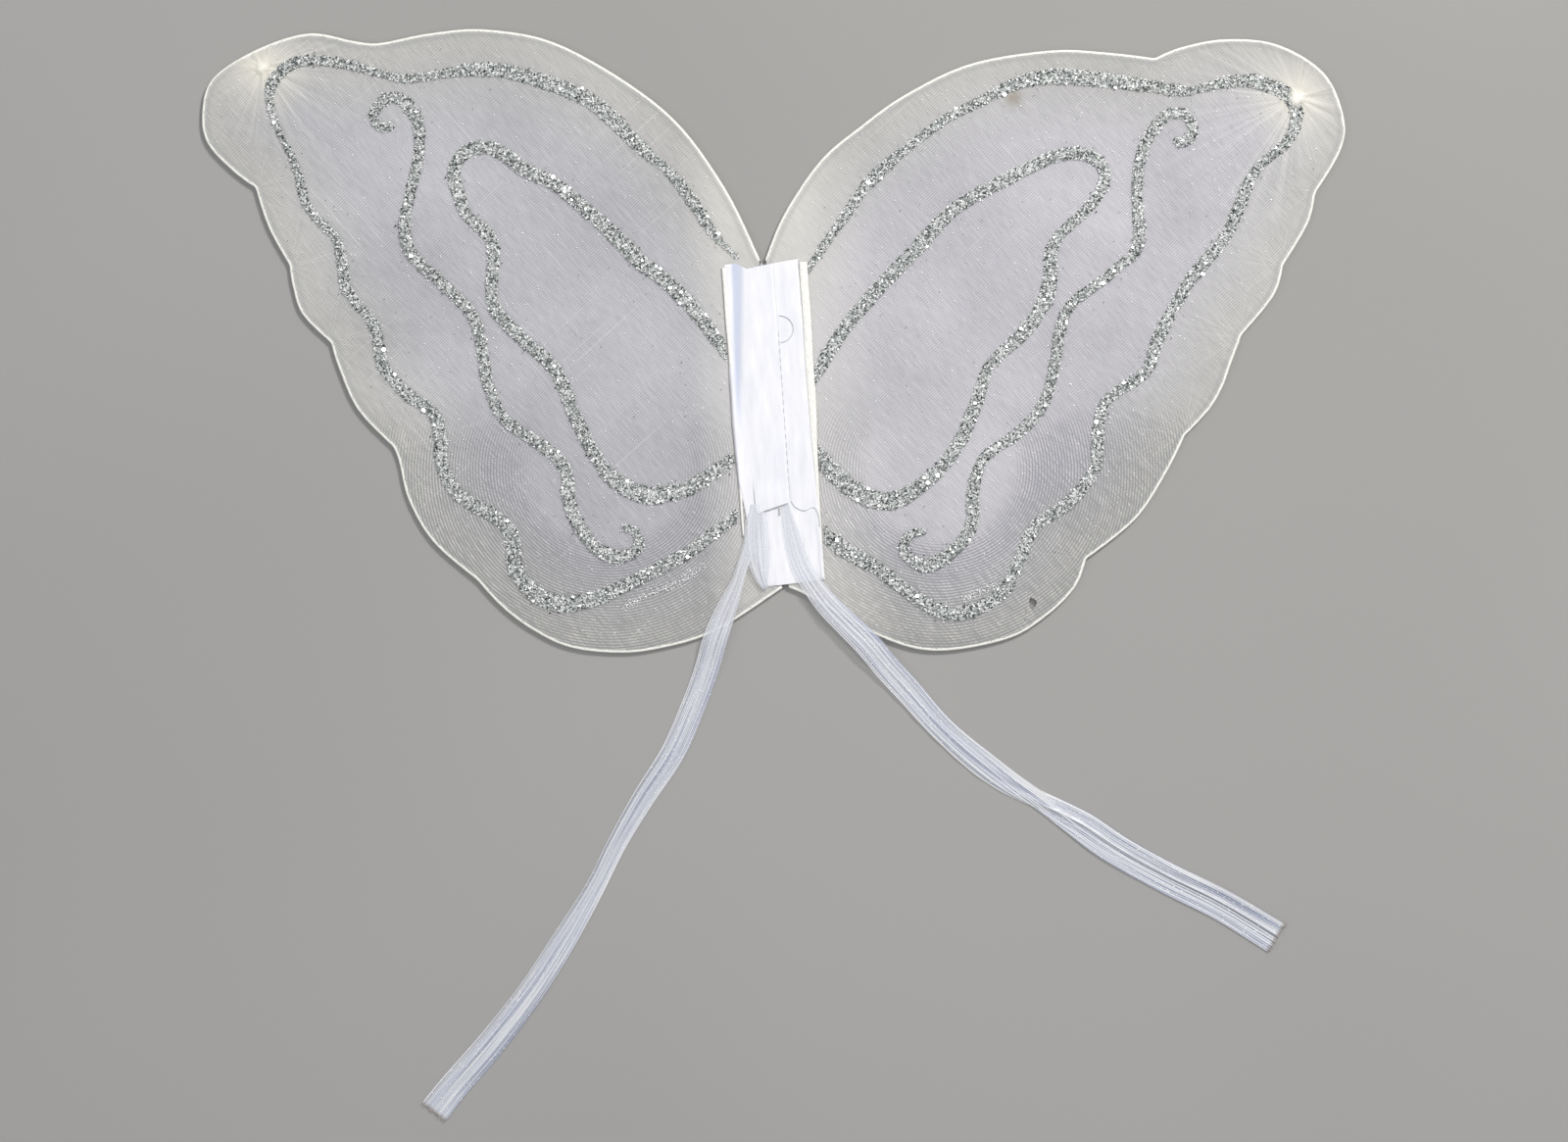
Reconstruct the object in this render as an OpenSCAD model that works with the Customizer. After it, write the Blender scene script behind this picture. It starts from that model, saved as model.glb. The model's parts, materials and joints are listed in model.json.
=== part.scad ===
// Child's dress-up fairy wings, lying flat with the ribbon side up.
// Two scalloped wire loops carry a front and a back layer of sheer nylon. Each loop's
// straight root wire turns in thread lashings on a fabric panel, so the wings fold up.

/* [Wire frames] */
// Radius of the frame wire
wire_r = 0.8; // [0.7:0.05:1.1]
// Half of the distance between the two root wires
pin_x = 2.0; // [1.9:0.05:2.2]
// Half of the length of a root wire
root_half = 86; // [84:1:90]
// Height of the root wires above the surface it lies on
pin_z = 2.25; // [2.25:0.05:2.6]
// Lean of the spine to the left, in degrees
spine_lean = 4; // [0:0.5:6]

/* [Nylon] */
// Thickness of each nylon layer
nylon_t = 0.25; // [0.1:0.05:0.25]

/* [Spine] */
// Thickness of the backing panel
panel_t = 0.7; // [0.4:0.1:0.7]
// Half of the width of the backing panel
panel_half = 19.5; // [15:0.5:20]
// Thickness of each half of the fabric cover
cover_t = 0.7; // [0.4:0.1:0.7]
// Length of each thread lashing
lashing_len = 12; // [8:1:16]
// Outer radius of the thread wound round each root wire
lashing_r = 1.55; // [1.4:0.05:1.55]
// Running clearance between a root wire and its lashings
run_gap = 0.05; // [0.02:0.01:0.1]
// Distance of the upper and lower lashings from the middle one
lashing_y = 68; // [60:1:70]
// Wall of the sleeve that closes each loop of wire
splice_wall = 0.25; // [0.15:0.05:0.3]
// Radius of the straight covered wire beside the cover
welt_r = 0.9; // [0.6:0.1:0.9]

/* [Glitter] */
// Thickness of a line of glitter glue
glitter_t = 0.4; // [0.2:0.1:0.6]

/* [Ribbons] */
// Thickness of the doubled ribbon
ribbon_t = 0.4; // [0.2:0.1:0.4]

/* [Hidden] */
$fn = 48;

LEFT = -1;
RIGHT = 1;
cream = [0.93, 0.91, 0.84];
sheer = [0.78, 0.78, 0.82];
white = [0.96, 0.96, 0.98];
silver = [0.62, 0.65, 0.66];
thread = [0.88, 0.88, 0.86];
organza = [0.76, 0.78, 0.88];
steel = [0.6, 0.61, 0.63];

// Heights of the layers, from the surface up
back_z = pin_z - wire_r - nylon_t;
front_z = pin_z + wire_r;
skin_z = front_z + nylon_t;
flap_z = skin_z + cover_t;

// Places along and across the spine, in its own frame
splice_from = 24;
splice_to = 44;
tack_from = -48;
tack_to = -43;
tack_top = 5.1;
cover_half_len = 86;
panel_half_len = 85;
cover_gap = 4;
cover_left = -20;
cover_cut_y = -50;
cover_cut_x = -11;
welt_x = 21;
welt_half_len = 84;
seam_x = 5.6;
flap_t = 0.4;
stitch_r = 0.15;

// Smoothing steps between two outline points
frame_steps = 4;
glitter_steps = 3;
ribbon_steps = 2;

// The wing outlines: one list for each lobe of wire, the last point being its inward kink.
// The first lobe starts at the root's top, and the last lobe ends at its bottom.
left_lobes = [
    [[-28, 126], [-59, 165], [-111, 198], [-151, 207], [-182, 205], [-208, 200], [-222, 201],
        [-246, 205], [-274, 196], [-296, 181], [-301, 163], [-298, 148], [-285, 134], [-273, 125]],
    [[-266, 104], [-255, 84]],
    [[-253, 72], [-248, 58], [-233, 43]],
    [[-229, 30], [-219, 8], [-200, -12]],
    [[-197, -20], [-192, -40], [-179, -62], [-156, -82]],
    [[-143, -96], [-127, -108], [-108, -117], [-84, -120], [-62, -118], [-32, -109]]];
right_lobes = [
    [[6, 110], [25, 138], [46, 156], [70, 173], [104, 189], [146, 196], [175, 195], [201, 192]],
    [[216, 198], [239, 202], [266, 199], [290, 184], [300, 161], [298, 144], [285, 122]],
    [[281, 106], [268, 84]],
    [[263, 68], [246, 47]],
    [[240, 31], [236, 20], [229, 8], [216, -6]],
    [[206, -26], [190, -50], [164, -71]],
    [[158, -86], [143, -101], [122, -113], [85, -119], [55, -111], [20, -91]]];

// The glitter lines: [x, y, width] along each line
left_border = [[-19, 87, 2], [-27, 95, 3], [-33, 102, 5], [-42, 116, 6], [-52, 129, 5], [-60, 137, 4.5],
    [-72, 147, 6.5], [-84, 160, 7.5], [-98, 171, 7.5], [-111, 177, 7.5], [-137, 185, 7], [-155, 187, 7],
    [-172, 185, 5], [-193, 182, 4.5], [-205, 184, 4], [-212, 186, 4], [-227, 190, 5], [-244, 192, 5.5],
    [-256, 189, 6], [-265, 179, 6], [-266, 169, 4], [-261, 154, 3], [-255, 142, 3.5], [-250, 128, 4.5],
    [-247, 116, 4], [-238, 105, 4], [-230, 96, 4.5], [-227, 79, 5.5], [-225, 70, 5], [-211, 52, 5],
    [-208, 38, 6], [-205, 28, 5.5], [-192, 14, 6], [-180, 6, 6], [-176, -7, 6.5], [-175, -22, 6.5],
    [-166, -38, 6.5], [-147, -49, 7], [-138, -60, 7.5], [-136, -78, 8], [-123, -92, 8.5],
    [-107, -95, 8.5], [-88, -90, 7.5], [-68, -80, 6.5], [-47, -69, 6.5], [-32, -58, 6],
    [-16, -46, 5.5]];
left_teardrop = [[-20, 31, 6], [-43, 61, 7], [-57, 75, 7], [-70, 85, 7.5], [-87, 102, 7.5],
    [-111, 123, 6.5], [-123, 130, 7], [-132, 134, 7], [-142, 142, 7], [-153, 146, 7], [-163, 143, 6.5],
    [-169, 134, 6.5], [-167, 123, 6.5], [-162, 110, 6], [-151, 100, 6.5], [-148, 90, 6.5],
    [-149, 72, 6], [-147, 60, 6.5], [-132, 44, 6.5], [-115, 28, 6.5], [-106, 6, 6.5], [-93, -19, 6.5],
    [-81, -32, 8.5], [-66, -38, 9.5], [-53, -36, 8.5], [-41, -32, 7.5], [-18, -16, 6.5]];
left_scroll = [[-201, 158, 3.5], [-205, 156, 5], [-209.5, 158.5, 5], [-211, 164, 5], [-207, 170, 5.5],
    [-201, 172, 5.5], [-195, 170, 6.5], [-188, 160, 6.5], [-187, 148, 5.5], [-188, 138, 5.5],
    [-193, 117, 5.5], [-195, 104, 6], [-191, 89, 6], [-173, 72, 5.5], [-159, 57, 5.5], [-154, 39, 6],
    [-151, 21, 5.5], [-142, 2, 5.5], [-123, -11, 6], [-110, -24, 6], [-108, -42, 6.5], [-99, -60, 6.5],
    [-86, -70, 7], [-74, -68, 6], [-71, -61, 5.5], [-75, -56, 4.5], [-81, -55, 3.5]];
right_border = [[15, 75, 2.5], [21, 86, 3.5], [33, 103, 5], [46, 122, 5.5], [53, 130, 6.5],
    [66, 142, 5], [91, 161, 4.5], [105, 168, 5], [120, 176, 5.5], [137, 182, 7], [158, 183, 8],
    [192, 179, 6.5], [216, 175.5, 5], [224, 176.5, 4], [235, 179.5, 5.5], [248, 181, 6.5],
    [256, 180, 7.5], [271, 173.5, 7], [276, 162, 6.5], [271, 149, 5.5], [256, 136, 4.5], [249, 124, 6],
    [246, 116, 6.5], [238, 98, 6], [222, 79, 6.5], [211, 61, 6], [202, 43, 6.5], [196, 27, 6],
    [175, 12, 5.5], [171, -8, 6.5], [169, -25, 6], [154, -43, 6.5], [138, -54, 6], [129, -73, 6],
    [122, -88, 6.5], [105, -98.5, 7], [89, -99.5, 7.5], [74, -91, 6.5], [54, -76, 7], [35, -65, 8],
    [20, -51, 6.5]];
right_teardrop = [[17, 17, 5], [35, 47, 7], [54, 70, 7], [75, 92, 7.5], [96, 114, 6.5], [123, 129, 6.5],
    [148, 141, 6.5], [165, 142, 7], [175, 132, 6], [168, 116, 5.5], [152, 101, 5.5], [146, 90, 7],
    [146, 80, 7], [145, 71, 8], [141, 61, 7.5], [131, 47, 7], [114, 31, 5.5], [107, 11, 7],
    [96, -13, 7], [81, -30, 7.5], [61, -41, 9.5], [39, -33, 9], [18, -10, 8]];
right_scroll = [[211, 150, 3.5], [215, 148.5, 5], [219, 150, 5], [221.5, 155, 5], [218, 162, 5.5],
    [212, 164, 5.5], [205, 161, 6], [196, 148, 6], [192, 131, 5.5], [192, 114, 5.5], [193, 102, 6.5],
    [191, 91, 6], [187, 87, 5.5], [174, 76, 5], [157, 63, 5.5], [151, 50, 5.5], [149, 36, 5.5],
    [143, 12, 5.5], [130, -4, 6], [111, -18, 5.5], [105, -36, 6.5], [104, -55, 6.5], [91, -70, 7],
    [79, -75, 7], [69, -68, 5.5], [71, -59, 5], [80, -57, 3.5]];

// The ribbons: [x, y, z, width] along each one, from its tack to its cut end
left_ribbon_route = [[0.4, -45, 4.9, 4.2], [-5, -49, 5, 8], [-10, -56, 5.4, 9], [-13, -65, 5.9, 8],
    [-16.5, -75, 5.9, 7], [-19.3, -84, 5.9, 8], [-22.5, -92, 5.3, 10], [-27, -103, 4.4, 12],
    [-31, -114, 4.3, 13],
    [-35, -128, 1.8, 13], [-41, -145, 0.4, 13], [-53, -173, 0.3, 13], [-69, -198, 0.3, 12],
    [-83, -222, 0.3, 10.5], [-95, -246, 0.3, 10.5], [-111, -273, 0.3, 13], [-129, -301, 0.3, 14],
    [-149, -327, 0.3, 15], [-169, -350, 0.3, 15.5], [-180, -364, 0.3, 16]];
right_ribbon_route = [[5.5, -45, 4.9, 2.6], [7, -54, 4.9, 5], [9.5, -63, 4.9, 8], [13, -72, 4.9, 10],
    [18.5, -82.5, 4.9, 11], [28, -95, 4.6, 12.5], [39, -106, 4.3, 13.5], [50, -117, 4.2, 14],
    [60, -129, 1.8, 14], [71, -141, 0.5, 14], [88, -160, 0.3, 13], [106, -176, 0.3, 14],
    [125, -190, 0.3, 15], [144, -201, 0.3, 16], [162, -212, 0.3, 17], [181, -225, 0.3, 17],
    [208, -240, 0.3, 17], [236, -254, 0.3, 17], [266, -272, 0.3, 18]];

// Where the nylon is gathered and tied near each tip
left_tip = [-270, 188];
right_tip = [276, 172];

// A point on the curve between p1 and p2, with p0 before them and p3 after them
function on_curve(p0, p1, p2, p3, t) = 0.5 * (2 * p1 + (p2 - p0) * t
    + (2 * p0 - 5 * p1 + 4 * p2 - p3) * t * t + (3 * p1 - p0 - 3 * p2 + p3) * t * t * t);

// A smooth curve through the points, with n steps between two of them
function curve(points, n) = let (last = len(points) - 1) [
    for (i = [0:last - 1]) for (k = [0:n - 1])
        on_curve(points[max(i - 1, 0)], points[i], points[i + 1], points[min(i + 2, last)], k / n),
    points[last]];

// The unit direction of a path at point i, in plan
function heading(path, i) = let (
    a = path[max(i - 1, 0)],
    b = path[min(i + 1, len(path) - 1)],
    d = [b[0] - a[0], b[1] - a[1]]) d / norm(d);

// The unit direction across a path at point i, to its left in plan
function across(path, i) = let (d = heading(path, i)) [-d[1], d[0]];

// A plan point of the spine's own frame, in the part's frame
function from_spine(x, y) = [x * cos(spine_lean) - y * sin(spine_lean),
    x * sin(spine_lean) + y * cos(spine_lean)];

// The smooth line of a wing's wire from the root's top to its bottom
function wing_outline(side, lobes) = let (
    top = from_spine(side * pin_x, root_half),
    bottom = from_spine(side * pin_x, -root_half),
    last = len(lobes) - 1,
    starts = [for (i = [0:last]) i == 0 ? top : lobes[i - 1][len(lobes[i - 1]) - 1]])
    concat([for (i = [0:last]) each let (
        ends = i == last ? concat(lobes[i], [bottom]) : lobes[i],
        points = curve(concat([starts[i]], ends), frame_steps))
        [for (k = [0:len(points) - 2]) points[k]]], [bottom]);

// The outline of a line of glitter of changing width
function strip_outline(line) = let (path = curve(line, glitter_steps), last = len(path) - 1)
    concat(
        [for (i = [0:last]) [path[i][0], path[i][1]] + across(path, i) * path[i][2] / 2],
        [for (i = [last:-1:0]) [path[i][0], path[i][1]] - across(path, i) * path[i][2] / 2]);

// Triangles that join rings of the same number of points into a closed skin
function skin_faces(rings, sides) = concat(
    [[for (s = [sides - 1:-1:0]) s]],
    [for (r = [0:rings - 2]) for (s = [0:sides - 1]) each let (
        a = r * sides + s,
        b = r * sides + (s + 1) % sides) [[a, b, b + sides], [a, b + sides, a + sides]]],
    [[for (s = [0:sides - 1]) (rings - 1) * sides + s]]);

// A round wire along a level path
module wire_along(path, r, sides) {
    ring = [for (s = [0:sides - 1]) [r * cos(360 * s / sides), r * sin(360 * s / sides)]];
    points = [for (i = [0:len(path) - 1]) let (n = across(path, i)) for (c = ring)
        [path[i][0] + n[0] * c[0], path[i][1] + n[1] * c[0], pin_z + c[1]]];
    polyhedron(points, skin_faces(len(path), sides));
}

// A flat ribbon along its route
module ribbon_along(route) {
    path = curve(route, ribbon_steps);
    ring = [[1, 0.5], [0.6, 1], [-0.6, 1], [-1, 0.5], [-1, -0.5], [-0.6, -1], [0.6, -1], [1, -0.5]];
    points = [for (i = [0:len(path) - 1]) let (n = across(path, i), w = path[i][3] / 2) for (c = ring)
        [path[i][0] + n[0] * c[0] * w, path[i][1] + n[1] * c[0] * w,
            path[i][2] + c[1] * ribbon_t / 2]];
    polyhedron(points, skin_faces(len(path), len(ring)));
}

// A straight rod along the spine, from y0 to y1
module spine_rod(x, y0, y1, z, r) {
    translate([x, y0, z]) rotate([-90, 0, 0]) cylinder(h = y1 - y0, r = r);
}

// A flat sheet in the spine's frame
module spine_sheet(outline, z, t) {
    rotate([0, 0, spine_lean]) translate([0, 0, z]) linear_extrude(t) polygon(outline);
}

// The backing strip, whose lower left corner is cut off at a slant
panel_outline = [[-panel_half, panel_half_len], [-panel_half, cover_cut_y],
    [cover_cut_x, -panel_half_len], [panel_half, -panel_half_len], [panel_half, panel_half_len]];

module back_panel() {
    color(white) spine_sheet(panel_outline, 0, panel_t);
}

// Thread wound round both root wires at height y along the spine
module lashing(y) {
    turns = 6;
    pitch = lashing_len / turns;
    groove = 0.12;
    start = y - lashing_len / 2;
    rotate([0, 0, spine_lean]) difference() {
        union() {
            for (side = [LEFT, RIGHT]) {
                spine_rod(side * pin_x, start, start + lashing_len, pin_z, lashing_r - groove);
                for (i = [0:turns - 1])
                    spine_rod(side * pin_x, start + (i + 0.1) * pitch, start + (i + 0.9) * pitch,
                        pin_z, lashing_r);
            }
            translate([-pin_x, start, panel_t])
                cube([2 * pin_x, lashing_len, pin_z + lashing_r - groove - panel_t]);
        }
        for (side = [LEFT, RIGHT])
            spine_rod(side * pin_x, start - 1, start + lashing_len + 1, pin_z, wire_r + run_gap);
    }
}

module upper_lashing() {
    color(thread) lashing(lashing_y);
}

module middle_lashing() {
    color(thread) lashing(0);
}

module lower_lashing() {
    color(thread) lashing(-lashing_y);
}

// The column of stitches that passes between the root wires and ends between the ribbons
module ribbon_tack() {
    half_w = 0.35;
    rotate([0, 0, spine_lean]) color(thread)
        translate([-half_w, tack_from, panel_t])
            cube([2 * half_w, tack_to - tack_from, tack_top - panel_t]);
}

module left_ribbon() {
    color(organza) ribbon_along(left_ribbon_route);
}

module right_ribbon() {
    color(organza) ribbon_along(right_ribbon_route);
}

// The straight stretch of a wing's wire, on which the wing folds
module root_wire(side) {
    rotate([0, 0, spine_lean]) {
        spine_rod(side * pin_x, -root_half, root_half, pin_z, wire_r);
        for (end = [-1, 1]) translate([side * pin_x, end * root_half, pin_z]) sphere(r = wire_r);
    }
}

// The sleeve that closes the loop of wire
module wire_splice(side) {
    rotate([0, 0, spine_lean]) difference() {
        spine_rod(side * pin_x, splice_from, splice_to, pin_z, wire_r + splice_wall);
        spine_rod(side * pin_x, splice_from - 1, splice_to + 1, pin_z, wire_r);
    }
}

// One nylon layer inside the wire, with slits where the lashings and the splice pass
module nylon_layer(side, lobes, z) {
    slit_w = 2;
    spare = 0.5;
    slits = concat([for (y = [-lashing_y, 0, lashing_y]) [y - lashing_len / 2, y + lashing_len / 2]],
        [[splice_from, splice_to]]);
    difference() {
        translate([0, 0, z]) linear_extrude(nylon_t) polygon(wing_outline(side, lobes));
        rotate([0, 0, spine_lean]) for (slit = slits)
            translate([side * pin_x - slit_w, slit[0] - spare, z - 1])
                cube([2 * slit_w, slit[1] - slit[0] + 2 * spare, 3]);
    }
}

// The gathered end of the stocking on the back of the wing
module tip_tuft(at) {
    translate([at[0], at[1], 0]) rotate_extrude()
        polygon([[0, 0], [4.6, 0], [5, 0.2], [5, 0.4], [4.4, 0.6], [2, 0.7], [2, back_z], [0, back_z]]);
}

// The thread tied round the tuft's neck
module tip_tie(at) {
    translate([at[0], at[1], 0.85]) rotate_extrude() translate([2.15, 0]) circle(r = 0.15, $fn = 16);
}

// A line of glitter glue on the front layer, kept clear of the cover and its welts
module glitter(line) {
    clear_x = welt_x + 1.5;
    clear_y = cover_half_len + 1.5;
    difference() {
        translate([0, 0, skin_z]) linear_extrude(glitter_t) polygon(strip_outline(line));
        rotate([0, 0, spine_lean]) translate([-clear_x, -clear_y, skin_z - 1])
            cube([2 * clear_x, 2 * clear_y, 3]);
    }
}

// A straight covered wire beside the cover
module cover_welt(x) {
    rotate([0, 0, spine_lean])
        spine_rod(x, -welt_half_len, welt_half_len, skin_z + welt_r, welt_r);
}

module left_cover_half() {
    outline = [[cover_left, cover_half_len], [cover_left, cover_cut_y],
        [cover_cut_x, -cover_half_len], [-cover_gap, -cover_half_len], [-cover_gap, cover_half_len]];
    color(white) spine_sheet(outline, skin_z, cover_t);
}

// The cover's folded-over edge, which lies on its left half
module fold_flap() {
    color(white) spine_sheet([[-14, 84], [-13, -46], [-4.6, -42], [-4.6, 84]], flap_z, flap_t);
}

module right_cover_half() {
    outline = [[cover_gap, cover_half_len], [cover_gap, -cover_half_len], [19.8, -84], [19.2, 0],
        [18.6, 85]];
    color(white) spine_sheet(outline, skin_z, cover_t);
}

// The row of stitches that holds the cover's folded edge
module seam_stitches() {
    first = -40;
    pitch = 4.5;
    count = 20;
    stitch = 2.6;
    rotate([0, 0, spine_lean]) color(thread) for (i = [0:count - 1])
        spine_rod(seam_x, first + i * pitch, first + i * pitch + stitch, flap_z + stitch_r, stitch_r,
            $fn = 16);
}

// One loop of thread that has pulled out of the seam
module loose_thread() {
    loop_r = 7;
    rotate([0, 0, spine_lean]) color(thread) translate([seam_x + 1, 49.5, flap_z + stitch_r])
        rotate([0, 0, -90]) rotate_extrude(angle = 180) translate([loop_r, 0])
            circle(r = stitch_r, $fn = 16);
}

module left_rim_wire() {
    color(steel) wire_along(wing_outline(LEFT, left_lobes), wire_r, 8);
}

module left_root_wire() {
    color(steel) root_wire(LEFT);
}

module left_wire_splice() {
    color(steel) wire_splice(LEFT);
}

module left_back_nylon() {
    color(sheer) nylon_layer(LEFT, left_lobes, back_z);
}

module left_front_nylon() {
    color(sheer) nylon_layer(LEFT, left_lobes, front_z);
}

module left_tip_tuft() {
    color(cream) tip_tuft(left_tip);
}

module left_tip_tie() {
    color(thread) tip_tie(left_tip);
}

module left_border_glitter() {
    color(silver) glitter(left_border);
}

module left_teardrop_glitter() {
    color(silver) glitter(left_teardrop);
}

module left_scroll_glitter() {
    color(silver) glitter(left_scroll);
}

module left_cover_welt() {
    color(cream) cover_welt(-welt_x);
}

module right_rim_wire() {
    color(steel) wire_along(wing_outline(RIGHT, right_lobes), wire_r, 8);
}

module right_root_wire() {
    color(steel) root_wire(RIGHT);
}

module right_wire_splice() {
    color(steel) wire_splice(RIGHT);
}

module right_back_nylon() {
    color(sheer) nylon_layer(RIGHT, right_lobes, back_z);
}

module right_front_nylon() {
    color(sheer) nylon_layer(RIGHT, right_lobes, front_z);
}

module right_tip_tuft() {
    color(cream) tip_tuft(right_tip);
}

module right_tip_tie() {
    color(thread) tip_tie(right_tip);
}

module right_border_glitter() {
    color(silver) glitter(right_border);
}

module right_teardrop_glitter() {
    color(silver) glitter(right_teardrop);
}

module right_scroll_glitter() {
    color(silver) glitter(right_scroll);
}

module right_cover_welt() {
    color(cream) cover_welt(welt_x);
}

back_panel();
upper_lashing();
middle_lashing();
lower_lashing();
ribbon_tack();
left_ribbon();
right_ribbon();
fold_flap();
seam_stitches();
loose_thread();
left_rim_wire();
left_root_wire();
left_wire_splice();
left_back_nylon();
left_front_nylon();
left_tip_tuft();
left_tip_tie();
left_border_glitter();
left_teardrop_glitter();
left_scroll_glitter();
left_cover_half();
left_cover_welt();
right_rim_wire();
right_root_wire();
right_wire_splice();
right_back_nylon();
right_front_nylon();
right_tip_tuft();
right_tip_tie();
right_border_glitter();
right_teardrop_glitter();
right_scroll_glitter();
right_cover_half();
right_cover_welt();
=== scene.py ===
import json
import math

import bpy
import numpy as np
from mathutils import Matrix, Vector, geometry, noise


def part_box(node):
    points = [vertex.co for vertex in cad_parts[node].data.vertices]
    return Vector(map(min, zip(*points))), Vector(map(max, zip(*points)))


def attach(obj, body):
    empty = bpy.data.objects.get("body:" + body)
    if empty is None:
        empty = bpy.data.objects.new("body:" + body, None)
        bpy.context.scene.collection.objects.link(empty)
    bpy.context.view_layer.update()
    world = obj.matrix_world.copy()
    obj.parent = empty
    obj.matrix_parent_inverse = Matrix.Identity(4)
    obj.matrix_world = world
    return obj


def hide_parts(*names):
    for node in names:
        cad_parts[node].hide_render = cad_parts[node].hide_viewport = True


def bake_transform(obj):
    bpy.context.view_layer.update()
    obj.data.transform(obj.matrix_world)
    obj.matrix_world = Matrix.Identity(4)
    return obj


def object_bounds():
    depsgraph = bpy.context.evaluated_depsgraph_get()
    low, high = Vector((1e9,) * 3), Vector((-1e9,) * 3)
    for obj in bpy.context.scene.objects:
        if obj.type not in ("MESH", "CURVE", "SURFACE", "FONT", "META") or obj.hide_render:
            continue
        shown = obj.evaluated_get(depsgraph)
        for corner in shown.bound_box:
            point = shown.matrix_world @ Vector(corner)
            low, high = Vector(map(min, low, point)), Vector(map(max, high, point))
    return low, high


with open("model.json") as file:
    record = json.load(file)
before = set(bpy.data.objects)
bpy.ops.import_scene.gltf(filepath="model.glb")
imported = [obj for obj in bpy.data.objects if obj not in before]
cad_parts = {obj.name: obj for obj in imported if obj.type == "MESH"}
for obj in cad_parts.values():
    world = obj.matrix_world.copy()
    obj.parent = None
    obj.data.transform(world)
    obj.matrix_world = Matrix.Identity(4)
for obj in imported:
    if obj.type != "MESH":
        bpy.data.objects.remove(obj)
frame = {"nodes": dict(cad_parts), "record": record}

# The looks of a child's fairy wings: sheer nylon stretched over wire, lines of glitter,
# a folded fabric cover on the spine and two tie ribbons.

CAD_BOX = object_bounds()
RANDOM = np.random.default_rng(31)
MM = 0.001
SIGN = {"left": -1, "right": 1}
JOINTS = {joint["name"]: joint for joint in frame["record"]["behaviour"]["joints"]}
ALONG = np.array(JOINTS["left_wing_fold"]["axis"][:2])
ACROSS = np.array([ALONG[1], -ALONG[0]])
# The height of an equilateral triangle with sides of 1
TRIANGLE_HEIGHT = 0.866
SAME_POINT = 1e-7
GRID = 0.001 * MM


# -------- plan geometry

def to_spine(points):
    """Plan points in the spine's own frame: across it and along it."""
    points = np.asarray(points)
    return np.stack([points[..., :2] @ ACROSS, points[..., :2] @ ALONG], -1)


def from_spine(points):
    """Plan points of the part's frame from the spine's own frame."""
    points = np.asarray(points)
    return points[..., :1] * ACROSS + points[..., 1:2] * ALONG


def smooth(points, steps):
    """A Catmull-Rom curve through the points, whose ends are repeated."""
    p = np.asarray(points, float)
    p = np.concatenate([p[:1], p, p[-1:]])
    t = (np.arange(steps) / steps)[:, None]
    parts = [
        0.5 * (2 * b + (c - a) * t + (2 * a - 5 * b + 4 * c - d) * t * t
               + (3 * b - a - 3 * c + d) * t ** 3)
        for a, b, c, d in zip(p, p[1:], p[2:], p[3:])]
    return np.concatenate(parts + [p[-1:]])


def closed(loop):
    """A loop with its first point repeated at its end."""
    return np.concatenate([loop, loop[:1]])


def unit(ways):
    """The same directions, each with a length of 1."""
    return ways / np.maximum(np.linalg.norm(ways, axis=-1, keepdims=True), 1e-9)


def at_height(plan, height=0.0):
    """Points in space from plan points and their height."""
    return np.column_stack([plan, np.broadcast_to(height, len(plan))])


def areas(corners):
    """The plan area of each triangle."""
    ways = corners[:, 1:] - corners[:, :1]
    return abs(ways[:, 0, 0] * ways[:, 1, 1] - ways[:, 0, 1] * ways[:, 1, 0]) / 2


def lengths(line):
    """The distance along a line at each of its points."""
    steps = np.linalg.norm(np.diff(line[:, :3], axis=0), axis=1)
    return np.concatenate([[0], np.cumsum(steps)])


def even(line, step):
    """The same line with its points evenly spaced."""
    run = lengths(line)
    at = np.linspace(0, run[-1], max(2, int(round(run[-1] / step)) + 1))
    return np.stack([np.interp(at, run, column) for column in line.T], -1)


def distance(points, line):
    """How far each plan point is from a line."""
    nearest = np.full(len(points), np.inf)
    for start, way in zip(line[:-1], np.diff(line, axis=0)):
        t = np.clip((points - start) @ way / max(way @ way, 1e-18), 0, 1)
        nearest = np.minimum(nearest, np.linalg.norm(points - start - t[:, None] * way, axis=1))
    return nearest


def inside(points, loop):
    """Which plan points lie within a closed loop."""
    ahead = np.roll(loop, -1, 0)
    x, y = points[:, :1], points[:, 1:2]
    crosses = (loop[:, 1] > y) != (ahead[:, 1] > y)
    rise = ahead[:, 1] - loop[:, 1]
    rise[rise == 0] = 1e-12
    at = (ahead[:, 0] - loop[:, 0]) * (y - loop[:, 1]) / rise + loop[:, 0]
    return (crosses & (x < at)).sum(1) % 2 == 1


def lattice(loop, step, jitter=0.25):
    """Plan points on a loose triangular lattice inside a loop."""
    low, high = loop.min(0), loop.max(0)
    rows = np.arange(low[1], high[1], step * TRIANGLE_HEIGHT)
    x, y = np.meshgrid(np.arange(low[0], high[0], step), rows)
    x = x + (np.arange(len(rows)) % 2 * step / 2)[:, None]
    points = np.stack([x.ravel(), y.ravel()], -1)
    points = points + RANDOM.uniform(-jitter, jitter, points.shape) * step
    return points[inside(points, loop)]


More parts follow.
